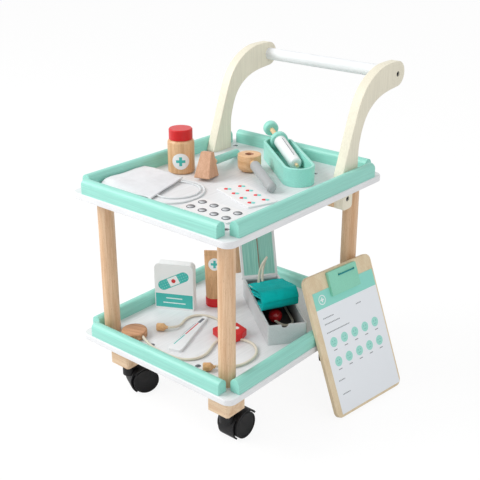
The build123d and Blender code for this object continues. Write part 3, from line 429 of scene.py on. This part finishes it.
# Posts, blocks, bearers and the stretcher are lacquered beech: pale straight grain with short dark
# flecks. Turned along the piece, it runs up the posts and across the blocks.
post_beech = (shade(229, 195, 160), shade(206, 163, 124))
block_beech = (shade(234, 208, 176), shade(216, 180, 142))


def grained(name, light, dark, along, roughness=0.45, coarse=0.006, turn=(0, 0, 0), flecks=0.5):
    """Lacquered wood: broad bands, narrow lines and short flecks, all along the grain."""
    wood = Finish(name, roughness)
    bands, lines, specks = (
        wood.cloud(wood.place(turn=turn, size=stretched(along, width, length)), detail)
        for width, length, detail in ((coarse, coarse * 22, 2.0), (0.0011, 0.035, 4.0),
                                      (0.0005, 0.004, 1.0)))
    mix = wood.plus(wood.times(bands, 0.55), wood.times(lines, 0.45))
    tone = wood.between(mix, dark, light, 0.38, 0.60)
    speck = wood.times(wood.above(specks, 0.66), flecks)
    wood.base = wood.over(tone, speck, scaled(dark, 0.72))
    wood.colour(wood.base)
    wood.relief(lines, 0.00012)
    return wood


dress(grained("beech_upright", *post_beech, "z"), "post_front_left", "post_front_right",
      "post_back_left", "post_back_right")
dress(grained("beech_across", *block_beech, "x"), "caster_blocks", "deck_bearers", "arm_stretcher")

# The two arms are thick plywood, sprayed cream and bolted to the ends of the stretcher. The bar
# between their tips is a white dowel.
arm_cream, bar_white = shade(234, 228, 208), shade(238, 240, 242)
dress(painted("cream_arm_paint", arm_cream, "z", 0.00015, 0.5), "arm_left", "arm_right")
dress(painted("white_bar_paint", bar_white, "x", 0.0001, 0.55), "push_bar")

# Screws and bolts are zinc plated steel, a little dull. They hold the posts and the rails to the
# boards, and the arms to their stretcher and bar.
steel = Finish("plated_steel", 0.26)
steel.shader.inputs["Metallic"].default_value = 1.0
scuffs = steel.grit(0.0006)
steel.colour(steel.between(scuffs, shade(84, 87, 92), shade(158, 160, 164), 0.3, 0.7))
dress(steel, "deck_screws", "rail_screws", "arm_bolts")

# The casters are moulded black plastic, slightly grained, with satin wheels. The stems' sockets are
# the same plastic.
moulding_blacks = (shade(14, 14, 16), shade(34, 34, 36))
wheel_blacks = (shade(12, 12, 14), shade(28, 28, 30))


def moulded(name, dark, light, roughness, grain, detail, depth):
    """Black plastic with the fine grain of its mould."""
    plastic = Finish(name, roughness)
    texture = plastic.grit(grain, detail)
    plastic.colour(plastic.between(texture, dark, light, 0.3, 0.8))
    plastic.shader.inputs["Specular IOR Level"].default_value = 0.3
    plastic.relief(texture, depth)
    return plastic


moulding = moulded("black_moulding", *moulding_blacks, 0.48, 0.0007, 2.0, 0.00006)
tread = moulded("black_wheel", *wheel_blacks, 0.38, 0.003, 3.0, 0.00004)
for corner in ("front_left", "front_right", "back_left", "back_right"):
    dress(moulding, "caster_hood_" + corner)
    dress(tread, "caster_wheels_" + corner)
dress(moulding, "caster_sockets")

# The medicine bottle is turned beech with a round white sticker and a teal cross. Its cap is red,
# with ribs all round.
teal = shade(66, 186, 178)
sticker_white = shade(240, 241, 241)
bottle_place, bottle_turn, bottle_sticker_height = (-89.0, -10.0), -48.7, 20.5
cap_red = shade(212, 14, 20)


def upright(turn):
    """A turn about the vertical, in degrees."""
    return (0, 0, radians(turn))


def put_sticker(wood, facing, across, up, middle, radius, arm, half):
    """A round white sticker with a teal cross, on the side that faces out."""
    sticker = wood.times(facing, wood.disc(across, up, *middle, radius))
    cross = wood.times(facing, wood.cross(across, up, *middle, arm, half))
    wood.colour(wood.over(wood.over(wood.base, sticker, sticker_white), cross, teal))


bottle_wood = grained("bottle_wood", shade(231, 190, 146), shade(209, 161, 114), "z", 0.4)
x, y, z = bottle_wood.axes(at(*bottle_place, deck + bottle_sticker_height), upright(bottle_turn))
put_sticker(bottle_wood, bottle_wood.above(x, 0.0), y, z, (0, 0), 12.2, 6.8, 2.1)
dress(bottle_wood, "medicine_bottle")
dress(painted("red_paint", cap_red, "z", 0.0001, 0.34), "medicine_bottle_cap", "ointment_tube_cap")

# The reflex hammer has a wedge of darker wood on a mint handle. Between them the handle's dowel is
# left bare.
hammer_place, hammer_turn, hammer_bare_to = (-37.8, -11.5), 18.0, 30.2
hammer_mint = shade(146, 214, 201)
bare_wood = (shade(236, 206, 164), shade(220, 184, 138))
hammer_wood = grained("hammer_wood", shade(214, 168, 136), shade(196, 146, 113), "z", 0.5, 0.005)
dress(hammer_wood, "hammer_head")


def bare_end(name, tone, place, turn, along, edge):
    """A stick on the deck that is bare wood up to an edge, and painted from there on."""
    stick = grained(name, *bare_wood, along, 0.42)
    along_it = stick.axes(at(*place, deck), upright(turn))["xyz".index(along)]
    brushed = stick.place(turn=upright(turn), size=stretched("y", 0.0015, 0.03))
    paint = stick.between(stick.cloud(brushed, 2.0), scaled(tone, 0.94), tone, 0.35, 0.65)
    stick.colour(stick.over(stick.base, stick.above(along_it, edge), paint))
    return stick


dress(bare_end("hammer_stick", hammer_mint, hammer_place, hammer_turn, "y", hammer_bare_to),
      "hammer_handle")

# The otoscope is a turned cup with a hole drilled down into it, on a grey stick. The stick's neck,
# which goes into the cup's side, is bare.
otoscope_place, otoscope_turn, otoscope_bare_to = (-13.0, 56.0), -33.0, 21.9
otoscope_grey = shade(170, 173, 174)
flare_shade, bore_shade = shade(150, 92, 56), shade(84, 42, 22)
cup_wood = grained("cup_wood", shade(234, 192, 148), shade(214, 166, 118), "x", 0.42, 0.005)
x, y, z = cup_wood.axes(at(*otoscope_place, deck))
# Painted shade darkens the drilled hole: brown at its flared mouth, near black down the bore
cup_with_hole_shade = cup_wood.base
for radius, top, tone in ((6.6, 25.9, flare_shade), (4.9, 23.4, bore_shade)):
    bore = cup_wood.times(cup_wood.disc(x, y, 0, 0, radius), cup_wood.below(z, top))
    cup_with_hole_shade = cup_wood.over(cup_with_hole_shade, bore, tone)
cup_wood.colour(cup_with_hole_shade)
dress(cup_wood, "otoscope_cup")
dress(bare_end("otoscope_stick", otoscope_grey, otoscope_place, otoscope_turn, "x",
               otoscope_bare_to), "otoscope_handle")

# The syringe lies in a routed mint tray. Its barrel is white with a printed scale, the collar and
# the knob are mint, and the plunger's rod and the nozzle are bare dowel.
tray_place, tray_turn, tray_mint = (28.4, 96.0), -38.2, shade(154, 223, 209)
nozzle_along, nozzle_across, nozzle_rise = 20.5, 7.0, 14.2
rod_along, rod_rise, rod_askew = 77.0, 31.0, 4.2
seat_gap, knob_from = 0.3, 119.9
barrel_white, scale_ink = shade(238, 239, 240), shade(70, 74, 78)
dress(painted("syringe_tray_paint", tray_mint, "x", 0.0002, 0.36), "syringe_tray", "syringe_collar")
slope = degrees(atan2(rod_rise - nozzle_rise, rod_along + nozzle_along))
nozzle_from_tray = turned(nozzle_along, nozzle_across, tray_turn)
syringe_start = at(tray_place[0] + nozzle_from_tray[0], tray_place[1] + nozzle_from_tray[1],
                   deck + rest_gap + nozzle_rise + seat_gap)
syringe_axes = (Matrix.Rotation(radians(tray_turn + 180 + rod_askew), 3, "Z")
                @ Matrix.Rotation(radians(90 - slope), 3, "Y")).to_euler()
barrel = painted("syringe_white", barrel_white, "x", 0.00008, 0.32)
x, y, z = barrel.axes(syringe_start, syringe_axes)
rule = barrel.bar(y, z, -0.45, 0.45, 12.0, 70.0)
ticks = barrel.times(barrel.bar(y, z, -2.2, 0.0, 16.0, 68.0), barrel.dashes(z, 2.0, 0.3))
ink = barrel.times(barrel.below(x, 0.0), barrel.math("MAXIMUM", rule, ticks))
nozzle = barrel.below(z, -0.02)
barrel.colour(barrel.over(barrel.over(barrel_white, ink, scale_ink), nozzle, bare_wood[0]))
dress(barrel, "syringe_barrel")
plunger = grained("plunger_wood", *bare_wood, "y", 0.42)
_, _, z = plunger.axes(syringe_start, syringe_axes)
knob = plunger.above(z, knob_from)
plunger.colour(plunger.over(plunger.base, knob, tray_mint))
dress(plunger, "syringe_plunger")

# The face mask is one piece of white woven cloth. It lies with a side against the rail, curls down
# at its front edge and sinks to the deck on the right.
mask_corners = ((-124.0, -142.0), (-34.0, -126.0), (-56.0, -42.0), (-126.0, -50.0))
mask_lie = ((-128, 8.5), (-106, 10.0), (-82, 8.0), (-58, 4.0), (-33, 1.6))
mask_above_lie, mask_lowest = 1.1, 1.3
curled_share = 0.16
ripple_height, pleat_height = 1.7, 0.35
mask_squares = 44


def woven(name, tone, weave=0.0007, sheen=0.25, dark=0.90):
    """Plain woven cloth: threads over and under, seen only close up."""
    cloth = Finish(name, 0.9)
    u, v, _ = cloth.split(cloth.place(coords="UV"))
    warp = cloth.math("SINE", cloth.times(u, 2 * pi / weave))
    weft = cloth.math("SINE", cloth.times(v, 2 * pi / weave))
    threads = cloth.times(warp, weft)
    share = cloth.plus(cloth.times(threads, 0.12), cloth.grit(0.012, 3.0))
    cloth.base = cloth.between(share, scaled(tone, dark), tone, 0.3, 0.62)
    cloth.colour(cloth.base)
    cloth.relief(threads, 0.00012)
    cloth.shader.inputs["Sheen Weight"].default_value = sheen
    cloth.shader.inputs["Specular IOR Level"].default_value = 0.1
    return cloth


def share_of(value, low, high):
    """How far a value is from low to high, from 0 to 1."""
    return max(0.0, min(1.0, (value - low) / (high - low)))


def eased(share):
    """The same share with a slow start and a slow end."""
    return share * share * (3 - 2 * share)


def height_along(line, x):
    """The height of a line of points at x, half rounded between its points."""
    for (x0, h0), (x1, h1) in zip(line, line[1:]):
        if x <= x1:
            share = share_of(x, x0, x1)
            return h0 + (h1 - h0) * (share + eased(share)) / 2
    return line[-1][1]


def flat_uv(piece, points):
    """UVs in metres on the uncut cloth, so that the weave keeps its size."""
    layer = piece.data.uv_layers.active or piece.data.uv_layers.new(name="cloth")
    for loop in piece.data.loops:
        layer.data[loop.index].uv = points[loop.vertex_index]


def thicken(piece, thickness):
    """Gives the cloth that was just laid its thickness, half to each side."""
    solid = piece.modifiers.new("cloth_thickness", "SOLIDIFY")
    solid.thickness = thickness
    solid.offset = 0
    bpy.ops.object.modifier_apply(modifier="cloth_thickness")
    bpy.ops.object.shade_smooth()


bpy.ops.mesh.primitive_grid_add(x_subdivisions=mask_squares, y_subdivisions=mask_squares, size=1)
mask = bpy.context.object
mask.name = "mask_cloth"
front_left, front_right, back_right, back_left = (Vector(corner) for corner in mask_corners)
flat = []
for vertex in mask.data.vertices:
    u, v = vertex.co.x + 0.5, vertex.co.y + 0.5

    # The rear edge bows in, and the front edge curls down, most at its left
    spot = front_left.lerp(back_left, v).lerp(front_right.lerp(back_right, v), u)
    spot.y += sin(pi * u) * (1.6 * (1 - 2 * v) - 1.2)
    rise = height_along(mask_lie, spot.x) + mask_above_lie
    curl = max(0.0, 1 - v / curled_share) * (1 - 0.55 * u)
    rise = mask_lowest + (rise - mask_lowest) * (1 - curl ** 1.5)

    # Low ripples and pleats run over it, and die out where it lies low
    ripple = ripple_height * noise.noise(Vector((spot.x * 0.022, spot.y * 0.03, 3.1)))
    pleat = pleat_height * sin((u * 1.4 + v * 0.35) * 6.5)
    rise = max(mask_lowest, rise + (ripple + pleat) * min(1.0, rise / 5))
    vertex.co = at(spot.x, spot.y, deck + rest_gap + rise)
    flat.append((u * 0.088, v * 0.088))
flat_uv(mask, flat)
thicken(mask, 0.0012)
mask_weave = woven("mask_weave", shade(250, 250, 253), sheen=0.1, dark=0.95)
mask.data.materials.append(mask_weave.material)
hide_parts("face_mask")
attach(mask, "mask")

# Two printed cards lie flat. Their blisters are raised: silver ones for tablets, with painted shade
# and highlight on each dome, and two-coloured ones for capsules.
card_white = shade(238, 237, 238)
blister_pitch, blister_count = (21.2, 22.4), (4, 2)


def in_cells(finish, value, pitch, count):
    """The distance from the middle of the nearest cell of a centred row of cells."""
    shifted = finish.plus(value, pitch * count / 2)
    return finish.minus(finish.math("MODULO", shifted, pitch), pitch / 2)


def blister_card(name, place, turn):
    """A card's finish, its height, and the way to the nearest blister across and along."""
    card = Finish(name, 0.30)
    x, y, z = card.axes(at(*place, deck + rest_gap), upright(turn))
    half_x, half_y = (pitch * count / 2 for pitch, count in zip(blister_pitch, blister_count))
    card.field = card.bar(x, y, -half_x, half_x, -half_y, half_y)
    card.ground = card.between(card.grit(0.004), scaled(card_white, 0.96), card_white, 0.3, 0.6)
    u, v = (in_cells(card, value, pitch, count)
            for value, pitch, count in zip((x, y), blister_pitch, blister_count))
    return card, z, u, v


tablets, _, u, v = blister_card("tablet_card_print_and_dome_shade", (60.0, -104.0), -1.5)
# Painted light on each dome: a dark crescent of painted shade, and a lens graded to a highlight
painted_dome_shade = tablets.times(tablets.field, tablets.disc(u, v, 0, 0, 6.1))
lens = tablets.times(tablets.field, tablets.disc(u, v, 0.6, -0.9, 4.6))
painted_dome_light = tablets.between(tablets.plus(tablets.times(v, -0.1), 0.5), shade(90, 93, 99),
                        shade(222, 224, 228), 0.25, 0.95)
tablets.colour(tablets.over(tablets.over(tablets.ground, painted_dome_shade, shade(86, 88, 94)), lens, painted_dome_light))
dress(tablets, "tablet_card")

card_thickness, capsule_turn = 2.03, 54.8
capsule_mint, capsule_red = shade(126, 216, 208), shade(226, 34, 44)
capsules, z, u, v = blister_card("capsule_card_print", (54.0, -31.0), -19.3)
body = capsules.times(capsules.field, capsules.above(z, card_thickness))
red_half = capsules.times(body, capsules.below(capsules.leaning(u, v, capsule_turn), 0.0))
capsules.colour(capsules.over(capsules.over(capsules.ground, body, capsule_mint), red_half,
                              capsule_red))
dress(capsules, "capsule_card")

# The plaster box is a thin painted block. Its front is printed with a plain adhesive plaster over a
# teal band, with two blank rules in the band.
box_place, box_turn, box_white = (-118.0, -47.0), 27.8, shade(236, 239, 239)
plaster_middle, plaster_turn, plaster_half, plaster_round = (30.5, 49.0), 27.0, 18.5, 8.2
pore_pitch = 4.2
block = painted("plaster_box_paint", box_white, "x", 0.0001, 0.4)
x, y, z = block.axes(at(*box_place, shelf + rest_gap), upright(box_turn))
front = block.below(y, 0.05)
band = block.bar(x, z, 1.2, 60.8, 3.2, 26.5)
rules = block.math("MAXIMUM", block.bar(x, z, 18.0, 44.0, 18.2, 20.0),
                   block.bar(x, z, 13.0, 49.0, 10.2, 12.0))
dx, dz = block.minus(x, plaster_middle[0]), block.minus(z, plaster_middle[1])
along, across = block.leaning(dx, dz, plaster_turn), block.leaning(dx, dz, plaster_turn + 90)
strip = block.bar(along, across, -plaster_half, plaster_half, -plaster_round, plaster_round)
for end in (-plaster_half, plaster_half):
    strip = block.math("MAXIMUM", strip, block.disc(along, across, end, 0, plaster_round))
pores = block.disc(in_cells(block, along, pore_pitch, 14), in_cells(block, across, pore_pitch, 3),
                   0, 0, 0.75)
pad = block.bar(along, across, -8.5, 8.5, -7.0, 7.0)
dot = block.disc(along, across, 0, 0, 3.4)
coat = box_white
for mark, tone in ((band, teal), (rules, shade(222, 240, 238)), (strip, teal),
                   (block.times(pores, strip), shade(150, 214, 208)),
                   (pad, shade(240, 241, 241)), (dot, shade(206, 40, 44))):
    coat = block.over(coat, block.times(front, mark), tone)
block.colour(coat)
dress(block, "plaster_box")

# The ointment tube stands on its red cap. It is carved beech, round at the cap and flat at the
# crimp, with the same sticker as the bottle.
tube_place, tube_turn, tube_sticker = (-56.0, 23.0), 36.0, (1.0, 70.5)
tube_wood = grained("tube_wood", shade(226, 180, 134), shade(200, 150, 104), "z", 0.42, 0.005)
x, y, z = tube_wood.axes(at(*tube_place, shelf), upright(tube_turn))
put_sticker(tube_wood, tube_wood.below(y, 0.0), x, z, tube_sticker, 9.8, 6.0, 1.9)
dress(tube_wood, "ointment_tube")

# The stethoscope has a turned chest piece and ear tips of bare beech, and a red hub with a white
# dot printed on it.
chest_beech = (shade(208, 158, 118), shade(178, 124, 84))
ear_tip_beech = (shade(228, 184, 134), shade(204, 154, 104))
hub_place, hub_turn, hub_print_above = (33.0, -40.0), -14.0, 12.0
dress(grained("chest_piece_wood", *chest_beech, "x", 0.45, 0.005, upright(20)),
      "stethoscope_chest_piece")
dress(grained("ear_tip_wood", *ear_tip_beech, "y", 0.42, 0.004), "stethoscope_ear_tips")
hub_paint = painted("red_hub_paint", cap_red, "y", 0.0001, 0.36)
x, y, z = hub_paint.axes(at(*hub_place, shelf), upright(hub_turn))
dot = hub_paint.times(hub_paint.disc(x, y, 1.5, 8.5, 4.2), hub_paint.above(z, hub_print_above))
hub_paint.colour(hub_paint.over(cap_red, dot, shade(240, 238, 236)))
dress(hub_paint, "stethoscope_hub")

# The thermometer is a flat white paddle with a printed column, teal and then red, under a grey end.
# A thin grey rule and a scale run beside it.
paddle_white, scale_grey = shade(234, 235, 237), shade(150, 154, 160)
foot, head = Vector((0.0, -126.2)), Vector((-33.2, -23.8))
column_start, column_lean, print_above = (-6.8, 13.0), 4.8, 3.9
paddle = painted("thermometer_paint", paddle_white, "y", 0.00006, 0.34)
paddle_turn = atan2(-(head - foot).x, (head - foot).y)
x, y, z = paddle.axes(at(*foot, shelf), (0, 0, paddle_turn))
u = paddle.plus(paddle.minus(x, column_start[0]),
                paddle.times(paddle.minus(y, column_start[1]), -tan(radians(column_lean))))
marks = [(paddle.bar(u, y, -1.0, 1.0, 46.0, 84.0), shade(205, 40, 52)),
         (paddle.bar(u, y, -0.9, 0.9, 13.0, 44.0), teal),
         (paddle.bar(u, y, -3.8, -3.2, 14.0, 84.0), shade(112, 116, 124)),
         (paddle.bar(u, y, -2.4, 2.4, 85.0, 100.0), shade(92, 98, 108)),
         (paddle.times(paddle.bar(u, y, -3.2, -1.6, 14.0, 84.0), paddle.dashes(y, 2.0, 0.28)),
          scale_grey)]
top_face = paddle.above(z, print_above)
coat = paddle_white
for mark, tone in marks:
    coat = paddle.over(coat, paddle.times(top_face, mark), tone)
paddle.colour(coat)
dress(paddle, "thermometer")

# The case is thin board, painted pale grey, and painted shade darkens its inside. The inside of its
# hinged lid has two mint panels between white rims, with a brown line of bare edge down its middle.
case_grey, inside_shade_dark, inside_shade_light = shade(205, 209, 211), shade(52, 46, 44), shade(88, 82, 80)
wall_inside = (2.9, 56.1, 2.9, 168.0)
case_paint = painted("case_paint", case_grey, "x", 0.0001, 0.45, upright(case_turn + 90))
x, y, z = case_paint.axes(in_case(0, 0, 0), upright(case_turn))

# The painted shade fades towards the rim. A ramp takes shares, so it reads the height in decimetres
height = case_paint.times(z, 0.01)
shade_by_height = case_paint.between(height, (1, 1, 1), (0, 0, 0), 0.03, 0.29)
painted_inside_shade = case_paint.between(case_paint.grit(0.0012, 3.0), inside_shade_dark, inside_shade_light, 0.3, 0.7)
case_paint.colour(case_paint.over(
    case_paint.tone, case_paint.times(case_paint.bar(x, y, *wall_inside), shade_by_height), painted_inside_shade))
dress(case_paint, "case_box")

lid_white, lid_open, hinge = shade(226, 228, 230), 115.0, in_case(29.5, 167.0, 27.5)
inner_face_below, knuckle_from = 5.2, -3.6
lid_axes = (Matrix.Rotation(radians(case_turn), 3, "Z")
            @ Matrix.Rotation(radians(-lid_open), 3, "X")).to_euler()
lid = painted("lid_paint", lid_white, "y", 0.0001, 0.45)
x, y, z = lid.axes(hinge, lid_axes)
streaks = lid.cloud(lid.place(hinge, lid_axes, stretched("y", 0.0009, 0.06)), 4.0)
panel_mint = lid.between(streaks, shade(124, 194, 180), shade(162, 218, 206), 0.35, 0.65)
inner = lid.below(z, inner_face_below)
panels = lid.times(inner, lid.bar(x, y, -25.6, 25.6, -148.0, -6.5))
spine = lid.times(inner, lid.bar(x, y, -0.8, 0.8, -150.0, -4.0))
knuckle = lid.above(y, knuckle_from)
coat = lid.over(lid.over(lid_white, panels, panel_mint), spine, shade(150, 118, 100))
lid.colour(lid.over(coat, knuckle, shade(198, 202, 205)))
dress(lid, "case_lid")

# The cuff is a long band of teal cloth, rolled up flat round itself and laid on the bulb. Its edge
# is bound in cream tape, and the outer turn is slack.
cuff_teal, tape_cream = shade(4, 200, 198), shade(214, 212, 198)
case_floor, case_wall_top, case_middle = 3.0, 31.0, 29.5
cuff_middle, cuff_tilt, cuff_turns = 95.2, 20.0, 3
cuff_radius, cuff_pitch, flat_half = 14.0, 3.6, 42.5
cuff_rise = case_floor + rest_gap + cuff_radius + flat_half * sin(radians(cuff_tilt))
sides_in_case, sides_over_case = (4.0, 48.4), (0.6, 58.4)
half_cloth = 1.5
slack_length, loose_length = 165, 250
cuff_columns = 18


def roll_line(step=2.0):
    """The band's middle line from its loose end inwards, along and up from the roll's middle."""
    points = []

    def arc(cx, cy, radius, start, end):
        count = max(3, int(abs(radians(end - start)) * radius / step))
        for i in range(count):
            a = radians(start + (end - start) * i / count)
            points.append((cx + radius * cos(a), cy + radius * sin(a)))

    def run(x0, x1, level):
        count = max(2, int(abs(x1 - x0) / step))
        for i in range(count):
            points.append((x0 + (x1 - x0) * i / count, level))

    arc(-flat_half, -cuff_pitch / 2, cuff_radius + cuff_pitch / 2 - half_cloth, 180, 90)
    for turn in range(cuff_turns):
        radius = cuff_radius - turn * cuff_pitch - half_cloth
        run(-flat_half, flat_half, radius)
        arc(flat_half, 0, radius, 90, -90)
        run(flat_half, -flat_half, -radius)
        if turn < cuff_turns - 1:
            arc(-flat_half, -cuff_pitch / 2, radius - cuff_pitch / 2, 270, 90)
    points.append((-flat_half, -radius))
    return points


line = roll_line()
run_lengths = [0.0]
for (x0, y0), (x1, y1) in zip(line, line[1:]):
    run_lengths.append(run_lengths[-1] + sqrt((x1 - x0) ** 2 + (y1 - y0) ** 2))
bpy.ops.mesh.primitive_grid_add(x_subdivisions=cuff_columns, y_subdivisions=len(line) - 1, size=1)
cuff = bpy.context.object
cuff.name = "cuff_band"
tilt = radians(cuff_tilt)
flat = []
for vertex in cuff.data.vertices:
    u = vertex.co.x + 0.5
    row = round((vertex.co.y + 0.5) * (len(line) - 1))
    along, up = line[row]
    s = run_lengths[row]

    # The cloth swells and sags, most at its loose end
    loose = max(0.0, 1 - s / loose_length)
    wave = noise.noise(Vector((s * 0.028, u * 1.7, 1.7)))
    in_bend = abs(along) > flat_half - 0.5
    out = Vector((along, up)).normalized() if in_bend else Vector((0, 1 if up > 0 else -1))
    sag = -1.3 * loose * sin(pi * u) * (1 - (along / 46) ** 2) if up > 0 else 0
    swell = (0.3 + 1.1 * loose) * wave + sag
    along, up = along + out.x * swell, up + out.y * swell

    # The outer turn stands off the roll, most at its front
    if s < slack_length:
        lift = share_of(up, -4, 12)
        up += lift * (1.2 + 3.2 * share_of(along, -flat_half, flat_half))
        along += lift * 4.5 * share_of(along, 20, flat_half)

    # Above the case's walls the band spreads to its full width, and its hems wander a little
    height = cuff_rise - along * sin(tilt) + up * cos(tilt)
    spread = eased(share_of(height, case_wall_top - 1.5, case_wall_top + 3.5))
    left, right = (low + (high - low) * spread
                   for low, high in zip(sides_in_case, sides_over_case))
    hem = (0.4 + 1.2 * loose) * noise.noise(Vector((s * 0.055, 9.0 * (u > 0.5), 0.3)))
    at_hem = 0.5 - abs(u - 0.5) < 0.2
    side = left + u * (right - left) + hem * at_hem + 0.4
    askew = 0.2 * (side - case_middle)
    vertex.co = in_case(side, cuff_middle + along * cos(tilt) + up * sin(tilt) + askew, height)
    flat.append((u * 0.0578, s / 1000))
flat_uv(cuff, flat)
thicken(cuff, 0.0022)
cuff_cloth = woven("cuff_weave", cuff_teal, 0.0009, 0.03, 0.84)
u, v, _ = cuff_cloth.split(cuff_cloth.place(coords="UV"))
tape = cuff_cloth.bar(u, v, 0.0, 0.0016, 0.075, 0.10)
cuff_cloth.colour(cuff_cloth.over(cuff_cloth.base, tape, tape_cream))
cuff.data.materials.append(cuff_cloth.material)
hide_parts("cuff")
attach(cuff, "cuff")
dress(painted("bulb_red", shade(176, 22, 30), "z", 0.00008, 0.25), "cuff_bulb")

# The clipboard is a bare plywood board with a printed sheet, and leans on a tray rail. A mint
# wooden clip holds the sheet, pulled down by a round teal elastic.
clip_turn, clip_lean, clip_foot_y, board_thickness = 7.0, 22.0, 9.0, 6.0
tray_edge, rail_inset, rail_height, rail_radius = 146.5, 2.0, 20.2, 7.85
plywood = (shade(233, 216, 184), shade(221, 198, 162))
dress(grained("clipboard_plywood", *plywood, "z", 0.55, 0.012, flecks=0.2), "clipboard_board")
lean = radians(clip_lean)
edge_lean = atan2(sin(lean) * cos(radians(clip_turn)), cos(lean))
back_z = board_thickness * sin(lean) + rest_gap
rail_axis_x, rail_axis_z = tray_edge - rail_inset - rail_radius, shelf + rail_height - rail_radius
back_x = rail_axis_x + (rail_radius + rest_gap
                        - (back_z - rail_axis_z) * sin(edge_lean)) / cos(edge_lean)
board_axes = (Matrix.Rotation(radians(90 - clip_turn), 3, "Z")
              @ Matrix.Rotation(radians(90 - clip_lean), 3, "X")).to_euler()

grey_ink, mint_ink = shade(128, 134, 140), shade(146, 222, 208)
pale_mint, face_ink, badge_white = shade(162, 226, 214), shade(122, 196, 184), shade(238, 245, 244)
badge = (27, 174)
word_rows = ((20, 42, 147), (91, 104, 147), (20, 52, 138), (20, 69, 125), (20, 33, 52),
             (21, 38, 31))
face_levels, grid_left, grid_pitch, grid_half = (109.0, 79.5), 17.4, 23.25, 11.6
sheet = Finish("clipboard_sheet_print", 0.6)
x, y, _ = sheet.axes(at(back_x, clip_foot_y, back_z), board_axes)
marks = [(sheet.bar(x, y, 0, 147, 161.5, 190), mint_ink),
         (sheet.disc(x, y, *badge, 7.2), badge_white),
         (sheet.disc(x, y, *badge, 5.9), mint_ink),
         (sheet.cross(x, y, *badge, 3.6, 1.1), badge_white)]
for x0, x1, level in word_rows:
    words = sheet.bar(x, y, x0, x1, level - 0.8, level + 0.8)
    marks.append((sheet.times(words, sheet.dashes(x, 1.5, 1.05)), grey_ink))
column = sheet.minus(sheet.math("MODULO", sheet.minus(x, grid_left), grid_pitch), grid_half)
grid = sheet.bar(x, y, 17.5, 133.5, 40, 130)
for level in face_levels:
    faces = ((sheet.disc(column, y, 0, level, 7.4), pale_mint),
             (sheet.bar(column, y, -3.6, 3.6, level - 12.4, level - 11.2), grey_ink),
             (sheet.disc(column, y, -2.4, level + 1.6, 0.9), face_ink),
             (sheet.disc(column, y, 2.4, level + 1.6, 0.9), face_ink),
             (sheet.bar(column, y, -2.6, 2.6, level - 3.2, level - 2.4), face_ink))
    marks += [(sheet.times(grid, mark), tone) for mark, tone in faces]
coat = shade(240, 244, 249)
for mark, tone in marks:
    coat = sheet.over(coat, mark, tone)
sheet.colour(coat)
sheet.relief(sheet.grit(0.002, 3.0), 0.00005)
dress(sheet, "clipboard_paper")
dress(painted("clip_paint", shade(142, 216, 190), "x", 0.0002, 0.4), "clipboard_clip")
elastic_band = Finish("teal_elastic", 0.8)
ribs = elastic_band.grit(0.0007, 1.0)
elastic_band.colour(elastic_band.between(ribs, shade(14, 118, 126), shade(40, 160, 165), 0.3, 0.7))
dress(elastic_band, "clipboard_elastic")

# Every piece of the frame is shaded smooth across its curves and sharp at its edges, as sawn,
# turned and moulded pieces are.
same_corner, sharp_from = 0.00001, 32
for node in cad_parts.values():
    weld = node.modifiers.new("weld", "WELD")
    weld.merge_threshold = same_corner
    for face in node.data.polygons:
        face.use_smooth = True
    soft = node.modifiers.new("edges", "EDGE_SPLIT")
    soft.split_angle = radians(sharp_from)
    soft.use_edge_sharp = False
